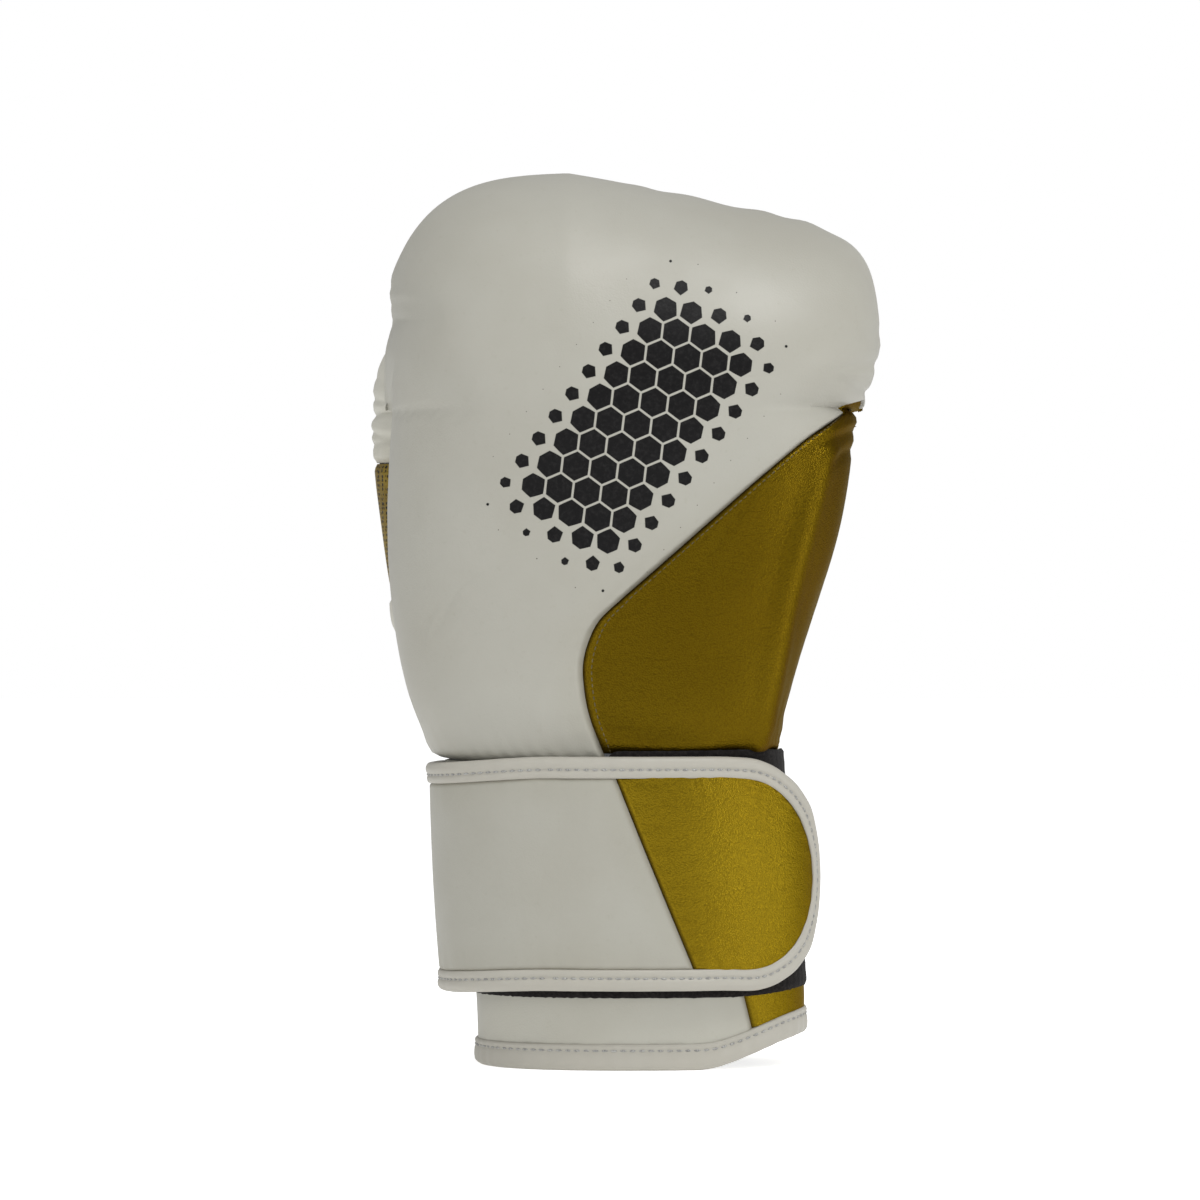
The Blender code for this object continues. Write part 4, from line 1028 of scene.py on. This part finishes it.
def build_thumb_web():
    """The web of leather that joins the thumb to the side of the hand."""
    heights = np.linspace(104.4, HAND_TOP, 80)
    w = smooth((heights - PALM_BOTTOM) / (WEB_TOP - PALM_BOTTOM))[:, None]
    lower = hand(np.full(80, PALM_BOTTOM), ROOT_TO, inset=1.2) * (1 - w)
    lower = lower + thumb(np.full(80, WEB_TOP), 398.0, inset=1.6) * w
    upper = thumb(heights, 38 + 20 * smooth((heights - WEB_TOP) / 20), inset=1.6)
    far = np.where(heights[:, None] < WEB_TOP, lower, upper)
    far[:, 2] = heights
    near = hand(heights, 2.5, inset=2.6)
    t = np.linspace(0, 1, 26)[None, :, None]
    web = near[:, None] * (1 - t) + far[:, None] * t
    waves = 1.2 + 0.5 * np.sin(heights / 4.3 + 1.5 * np.sin(heights / 13))
    sag = np.sin(np.pi * t[..., 0]) * waves[:, None]
    web = web + np.stack([sag, 0 * sag, 0 * sag], -1)
    panel("thumb_web_leather", web, (), 1.0, mat_white,
          ("hand", "thumb", (-0.078, -0.006, 0.15), (-0.074, 0.006, 0.15)), "white_leather", pucker=0.0,
          drift=0.3, crown=0.0, seed=22.0)


# ======================================================================= the cuff

RIM_RISE = 11.0
BINDING_HEIGHT = 9.0
CUFF_TOP = 103.6
CUFF_START, CUFF_END, SLIT_LITTLE = -86.0, 187.0, 257.0  # ring angles; the flap runs from the end to the slit


def rim(x):
    """The cuff's lower edge rises towards the little-finger side."""
    return RIM_RISE * smooth((x - 24.0) / 41.0)


def cuff_row(share, angle, top):
    base = rim(hand(0.0, angle)[..., 0]) + BINDING_HEIGHT - 1.0
    return base + (top - base) * share


def build_cuff():
    shares = np.linspace(0, 1, 50)[:, None]
    height = 8 + 95 * shares
    seam_angle = angle_at_x(height, 43.5 - (height - 5) * 0.205, 92.0, 178.0)
    angle = CUFF_START + (seam_angle - CUFF_START) * np.linspace(0, 1, 170)[None, :]
    panel("cuff_leather_painted_light", hand(cuff_row(shares, angle, 102.3), angle), ("left", "right"), 1.4, mat_cuff_painted_light,
          "hand", "white_leather", ("cuff_panel",), fill=0.6, dip=1.0, roll=2.0, crown=0.1, pucker=0.1,
          drift=0.2, seed=12.0)
    angle = seam_angle + (CUFF_END - 0.2 - seam_angle) * np.linspace(0, 1, 60)[None, :]
    panel("cuff_gold_leather", hand(cuff_row(shares, angle, CUFF_TOP), angle), ("left",), 1.4, mat_gold_strap,
          "hand", "gold_leather", ("cuff_gold_panel",), dip=1.0, roll=2.0, crown=0.1, pucker=0.1, drift=0.15,
          seed=13.0)
    build_loop()
    angle = CUFF_END + (SLIT_LITTLE - CUFF_END) * np.linspace(0, 1, 60)[None, :] + 0 * shares
    panel("cuff_flap_leather", hand(cuff_row(shares, angle, CUFF_TOP), angle), ("right", "top"), 1.4,
          mat_cuff_painted_light, "cuff_flap", "white_leather", ("cuff_flap_panel",), fill=0.6, dip=1.0, roll=2.0,
          crown=0.3, pucker=0.15, drift=0.2, seed=15.0)
    build_rim("cuff_rim_binding", CUFF_START - 0.5, CUFF_END, "hand", "cuff_binding", 220)
    build_rim("cuff_flap_rim_binding", CUFF_END + 0.3, SLIT_LITTLE + 0.5, "cuff_flap",
              "cuff_flap_binding", 60)


def build_loop():
    """The black loop fabric that the strap closes on, with a slightly frayed edge."""
    angle = 12 + 170 * np.linspace(0, 1, 160)[None, :]
    low = 24.2 + 2.6 * smooth((angle - 120) / 50)
    high = 96.0 + 10.2 * smooth((angle - 78) / 10)
    loop = hand(low + (high - low) * np.linspace(0, 1, 70)[:, None], angle, inset=-1.1)
    lifted, seam = upholster(loop, ALL_SIDES, dip=0.5, roll=1.2, crown=0.0, pucker=0.1, wave=4.0, drift=0.15,
                             seed=14.0)
    fringe = 0.25 * ripple(loop[..., 0] * 2.3, loop[..., 2] * 2.9, 3.0) * (seam < 2.0)
    lifted = lifted + np.stack([0 * fringe, 0 * fringe, fringe], -1)
    hang(shell("loop_fabric", lifted, 1.0, [mat_loop], values={"seam": seam}), "hand",
         ("loop_panel",))


RIM_PROFILE = [(0.4, 8.9), (-0.6, 8.8), (-1.0, 7.9), (-0.75, 6.7), (-1.15, 5.4), (-1.35, 3.0), (-0.9, 1.0),
               (0.8, 0.05), (2.5, 0.0), (6.0, 0.0), (7.8, 0.1), (9.2, 1.2), (9.4, 4.0), (9.3, 8.2), (8.4,
                                                                                                     8.8),
               (4.0, 8.4)]  # depth into the wall, and height


def build_rim(name, low, high, body, node, count):
    """Folded tape under the cuff's edge, from its outer face round to its inner one, with its stitching."""

    def point(angle, depth, height):
        z = rim(hand(0.0, angle)[0]) + height
        outer, inner = hand(z, angle), pocket(z, angle)
        outer[..., 2] = inner[..., 2] = z
        way = inner - outer
        thick = np.linalg.norm(way, axis=-1, keepdims=True)
        waver = 0.12 * np.sin(angle * 0.9) + 0.1 * np.sin(angle * 0.37 + 1)
        reach = depth[:, None] * np.where(depth[:, None] > 4, thick / 8.5, 1.0) - waver
        return outer + way / thick * reach

    angles = np.linspace(low, high, count)
    hang(sweep(name, angles, rounded(RIM_PROFILE), point, mat_tape), body, (node,))
    line = np.array([point(a, np.array([-0.78]), np.array([6.7]))[0] for a in angles])
    outward = line * (1, 1, 0)
    outward /= np.linalg.norm(outward, axis=1, keepdims=True)
    run = stitches(name + "_stitches", line, outward, mat_thread, pitch=3.1, radius=0.36, lift=0.12)
    hang(run, body)


# ======================================================================= the strap

MIDDLE_Z, HALF = (STRAP_BOTTOM + STRAP_TOP) / 2, (STRAP_TOP - STRAP_BOTTOM) / 2
END_REACH = 36.0
TAPE_WIDTH = 7.0
TAPE_OVERLAP = TAPE_WIDTH - 0.6
SPLIT = back_length(-25)  # where the two lengths of binding meet
ROOT_START = STRAP_EDGE - 41
# the folded tape's section: inset from the strap's edge, and height out
TAPE_PROFILE = [(0.9, 1.6), (0.2, 2.4), (0.0, 3.6), (0.5, 5.0), (1.8, 5.75), (3.2, 5.7), (4.2, 5.2),
                (5.2, 5.55), (6.3, 5.45), (6.95, 5.0), (7.05, 4.2), (7.0, 2.6), (6.2, 1.7), (3.5, 1.5)]


def in_frame(length, out):
    """The strap's middle line at a length, in the frame's metres."""
    return tuple((strap(length, MIDDLE_Z, out) - (0, MIDDLE_Y, 0)) * MM)


EDGE_Y = in_frame(STRAP_EDGE, STRAP_FACE)[1]
ROUND_EDGE = ("strap_palm", "strap_back", (-0.064, EDGE_Y + 0.006, 0.06), (-0.064, EDGE_Y - 0.006, 0.06))
PEELING = ("strap_back", "strap_tip", in_frame(STRAP_PEEL - 6, STRAP_FACE),
           in_frame(STRAP_PEEL + 6, STRAP_FACE))
AT_ROOT = ("cuff_flap", "strap_palm", in_frame(0.0, 2.5), in_frame(10.0, 2.5))


def end_at(z, inset):
    """How far along the round end reaches at a height."""
    height = np.minimum(np.abs(z - MIDDLE_Z) / (HALF - inset), 1.0)
    return STRAP_END - END_REACH + (END_REACH - inset) * np.sqrt(np.maximum(0, 1 - height**1.75))


def strap_seam(z):
    return back_length(0) + (97.5 - z) * 0.40 - 4.0


def strap_panel(name, start, end, materials, seams, seed, bodies, replaces, rows=60, columns=130,
                crown=0.6):
    """A padded strap panel between two lengths, each given for heights; its underside is black."""
    half = HALF - TAPE_OVERLAP
    z = (MIDDLE_Z + half * np.sin(np.radians(np.linspace(-90, 90, rows))))[:, None]
    length = start(z) + (end(z) - start(z)) * np.linspace(0, 1, columns)[None, :]
    lifted, seam = upholster(strap(length, z, 4.9), seams, dip=0.8, roll=1.6, crown=crown, pucker=0.1,
                             wave=6.5, drift=0.22, seed=seed)
    piece = shell(name, lifted, 0, materials, values={"seam": seam}, inner=strap(length, z, 2.0))
    hang(piece, bodies, replaces)


def build_strap():
    strap_panel("strap_white_leather", lambda z: ROOT_START + 0 * z, strap_seam, [mat_strap, mat_under],
                ("bottom", "top", "right", "left"), 16.0, ROUND_EDGE,
                ("strap_root_panel", "strap_root_core", "strap_white_panel"), columns=190)
    strap_panel("strap_gold_leather", lambda z: strap_seam(z) + 0.2, lambda z: end_at(z, TAPE_OVERLAP),
                [mat_gold_strap, mat_under], ALL_SIDES, 17.0, PEELING,
                ("strap_gold_wedge", "strap_gold_end", "strap_core_back", "strap_core_end"), rows=90,
                columns=110, crown=0.9)
    build_strap_binding()
    # elastic across the palm slit
    z = np.linspace(34, 94, 60)[:, None]
    length = np.linspace(0.2, ROOT_START + 6, 110)[None, :]
    ribs = np.stack(np.broadcast_arrays(0 * z, 0.25 * np.sin(z * 2 * math.pi / 4.0), 0 * length), -1)
    piece = shell("strap_elastic_webbing", strap(length, z, 3.5) + ribs, 0, [mat_elastic],
                  inner=strap(length, z, 1.7))
    hang(piece, AT_ROOT, ("strap_elastic",))


def build_strap_binding():
    """The folded tape along the strap's two edges and round its end, with its stitches."""

    def run(sign, start, end, count):
        """Stations (length, height, inward direction) along one long edge."""
        z = MIDDLE_Z + sign * HALF
        return [(length, z, 0.0, -float(sign)) for length in np.linspace(start, end, count)]

    def round_run():
        z = MIDDLE_Z + HALF * np.sin(np.linspace(1, -1, 120) * math.pi / 2)
        out = np.stack([end_at(z, 0.0), z], -1)
        d = np.gradient(out, axis=0)
        d /= np.linalg.norm(d, axis=1, keepdims=True)
        return [(a, b, c, e) for (a, b), c, e in zip(out, d[:, 1], -d[:, 0])]

    def point(station, inset, out):
        length, z, inward_length, inward_z = station
        waver = 0.12 * math.sin(length * 0.31) + 0.08 * math.sin(length * 0.83)
        return strap(length + inward_length * inset, z + inward_z * inset, out + waver)

    def tape(word, stations, bodies, node):
        piece = sweep(f"strap_binding_{word}", stations, rounded(TAPE_PROFILE), point, mat_tape)
        hang(piece, bodies, (node,))
        inset, out = np.array([4.2]), np.array([5.25])
        line, above = (np.array([point(s, inset, out + rise)[0] for s in stations]) for rise in (0, 1))
        threads = stitches(f"strap_stitches_{word}", line, above - line, mat_thread, radius=0.36)
        hang(threads, bodies)

    for sign, word in ((1, "top"), (-1, "bottom")):
        tape(word + "_side", run(sign, ROOT_START - 0.3, SPLIT, 120), ROUND_EDGE, "strap_binding_" + word)
    straight = STRAP_END - END_REACH - 0.3
    stations = run(1, SPLIT, straight, 60) + round_run() + run(-1, SPLIT, straight, 60)[::-1]
    tape("round_end", stations, PEELING, "strap_binding_end")


# ======================================================================= what stays as the CAD made it


def dress_cad_nodes():
    """The CAD nodes that stay get their own materials."""
    for name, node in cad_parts.items():
        if node.hide_render:
            continue
        material, slot = mat_foam, "foam"
        if "lining" in name or name == "grip_bar":
            material, slot = mat_lining, "lining_cloth"
        elif "hook" in name:
            material, slot = mat_hooks, "black_hook"
        elif name == "slit_gusset":
            material, slot = mat_gusset, "black_elastic"
        elif name == "knuckle_pad_outer":
            material, slot = mat_firm, "firm_foam"
        node.data.materials.clear()
        node.data.materials.append(material)


build_back()
build_gold_side()
build_palm()
build_underside()
build_thumb()
build_thumb_root()
build_thumb_web()
build_cuff()
build_strap()
dress_cad_nodes()

# ======================================================================= floor, light and camera


LIGHTS = (("key", (0.65, -0.95, 1.95), 0.9, 23.0), ("fill", (-1.5, -1.3, 0.8), 1.0, 7.0),
          ("ridge", (1.6, -0.85, 0.35), 0.4, 4.6))  # name, place, size in metres, watts


def build_studio():
    """A pale floor, an even white room and three soft lamps."""
    mesh = bpy.data.meshes.new("floor")
    mesh.from_pydata([(-6, -4, 0), (6, -4, 0), (6, 8, 0), (-6, 8, 0)], [], [(0, 1, 2, 3)])
    floor = bpy.data.objects.new("floor", mesh)
    bpy.context.scene.collection.objects.link(floor)
    s = Shader("floor_white", roughness=0.9)
    s.bsdf.inputs["Base Color"].default_value = (0.9, 0.9, 0.9, 1)
    s.bsdf.inputs["Emission Color"].default_value = (1, 1, 1, 1)
    seen = s.node("ShaderNodeLightPath").outputs["Is Camera Ray"]
    s.link(s.math("ADD", s.math("MULTIPLY", seen, 0.40), 0.35), s.bsdf.inputs["Emission Strength"])
    mesh.materials.append(s.material)
    world = bpy.data.worlds.new("studio")
    bpy.context.scene.world = world
    world.use_nodes = True
    tree = world.node_tree
    room = tree.nodes["Background"]
    room.inputs["Color"].default_value = (1, 1, 1, 1)
    room.inputs["Strength"].default_value = 0.42
    paper = tree.nodes.new("ShaderNodeBackground")
    paper.inputs["Color"].default_value = (1, 1, 1, 1)
    paper.inputs["Strength"].default_value = 1.0
    seen = tree.nodes.new("ShaderNodeLightPath")
    mix = tree.nodes.new("ShaderNodeMixShader")
    tree.links.new(seen.outputs["Is Camera Ray"], mix.inputs["Fac"])
    tree.links.new(room.outputs["Background"], mix.inputs[1])
    tree.links.new(paper.outputs["Background"], mix.inputs[2])
    tree.links.new(mix.outputs["Shader"], tree.nodes["World Output"].inputs["Surface"])
    for name, place, size, power in LIGHTS:
        light = bpy.data.lights.new(name, "AREA")
        light.size = size
        light.energy = power
        lamp = bpy.data.objects.new(name, light)
        bpy.context.scene.collection.objects.link(lamp)
        lamp.location = place
        lamp.rotation_euler = (Vector((0, 0, 0.16)) - Vector(place)).to_track_quat("-Z", "Y").to_euler()


FRAME_WIDTH = 0.4002  # what the picture's width covers at the glove
CAMERA_DISTANCE = 2.2


def build_camera():
    camera = bpy.data.cameras.new("camera")
    camera.sensor_width = 36.0
    camera.lens = 36.0 * (CAMERA_DISTANCE - 0.04) / FRAME_WIDTH
    camera.clip_start, camera.clip_end = 0.05, 50
    rig = bpy.data.objects.new("camera", camera)
    bpy.context.scene.collection.objects.link(rig)
    rig.location = (-0.0082, -CAMERA_DISTANCE, 0.1562)
    rig.rotation_euler = (math.radians(90), 0, 0)
    bpy.context.scene.camera = rig


build_studio()
build_camera()
bpy.context.scene.view_settings.view_transform = "Standard"
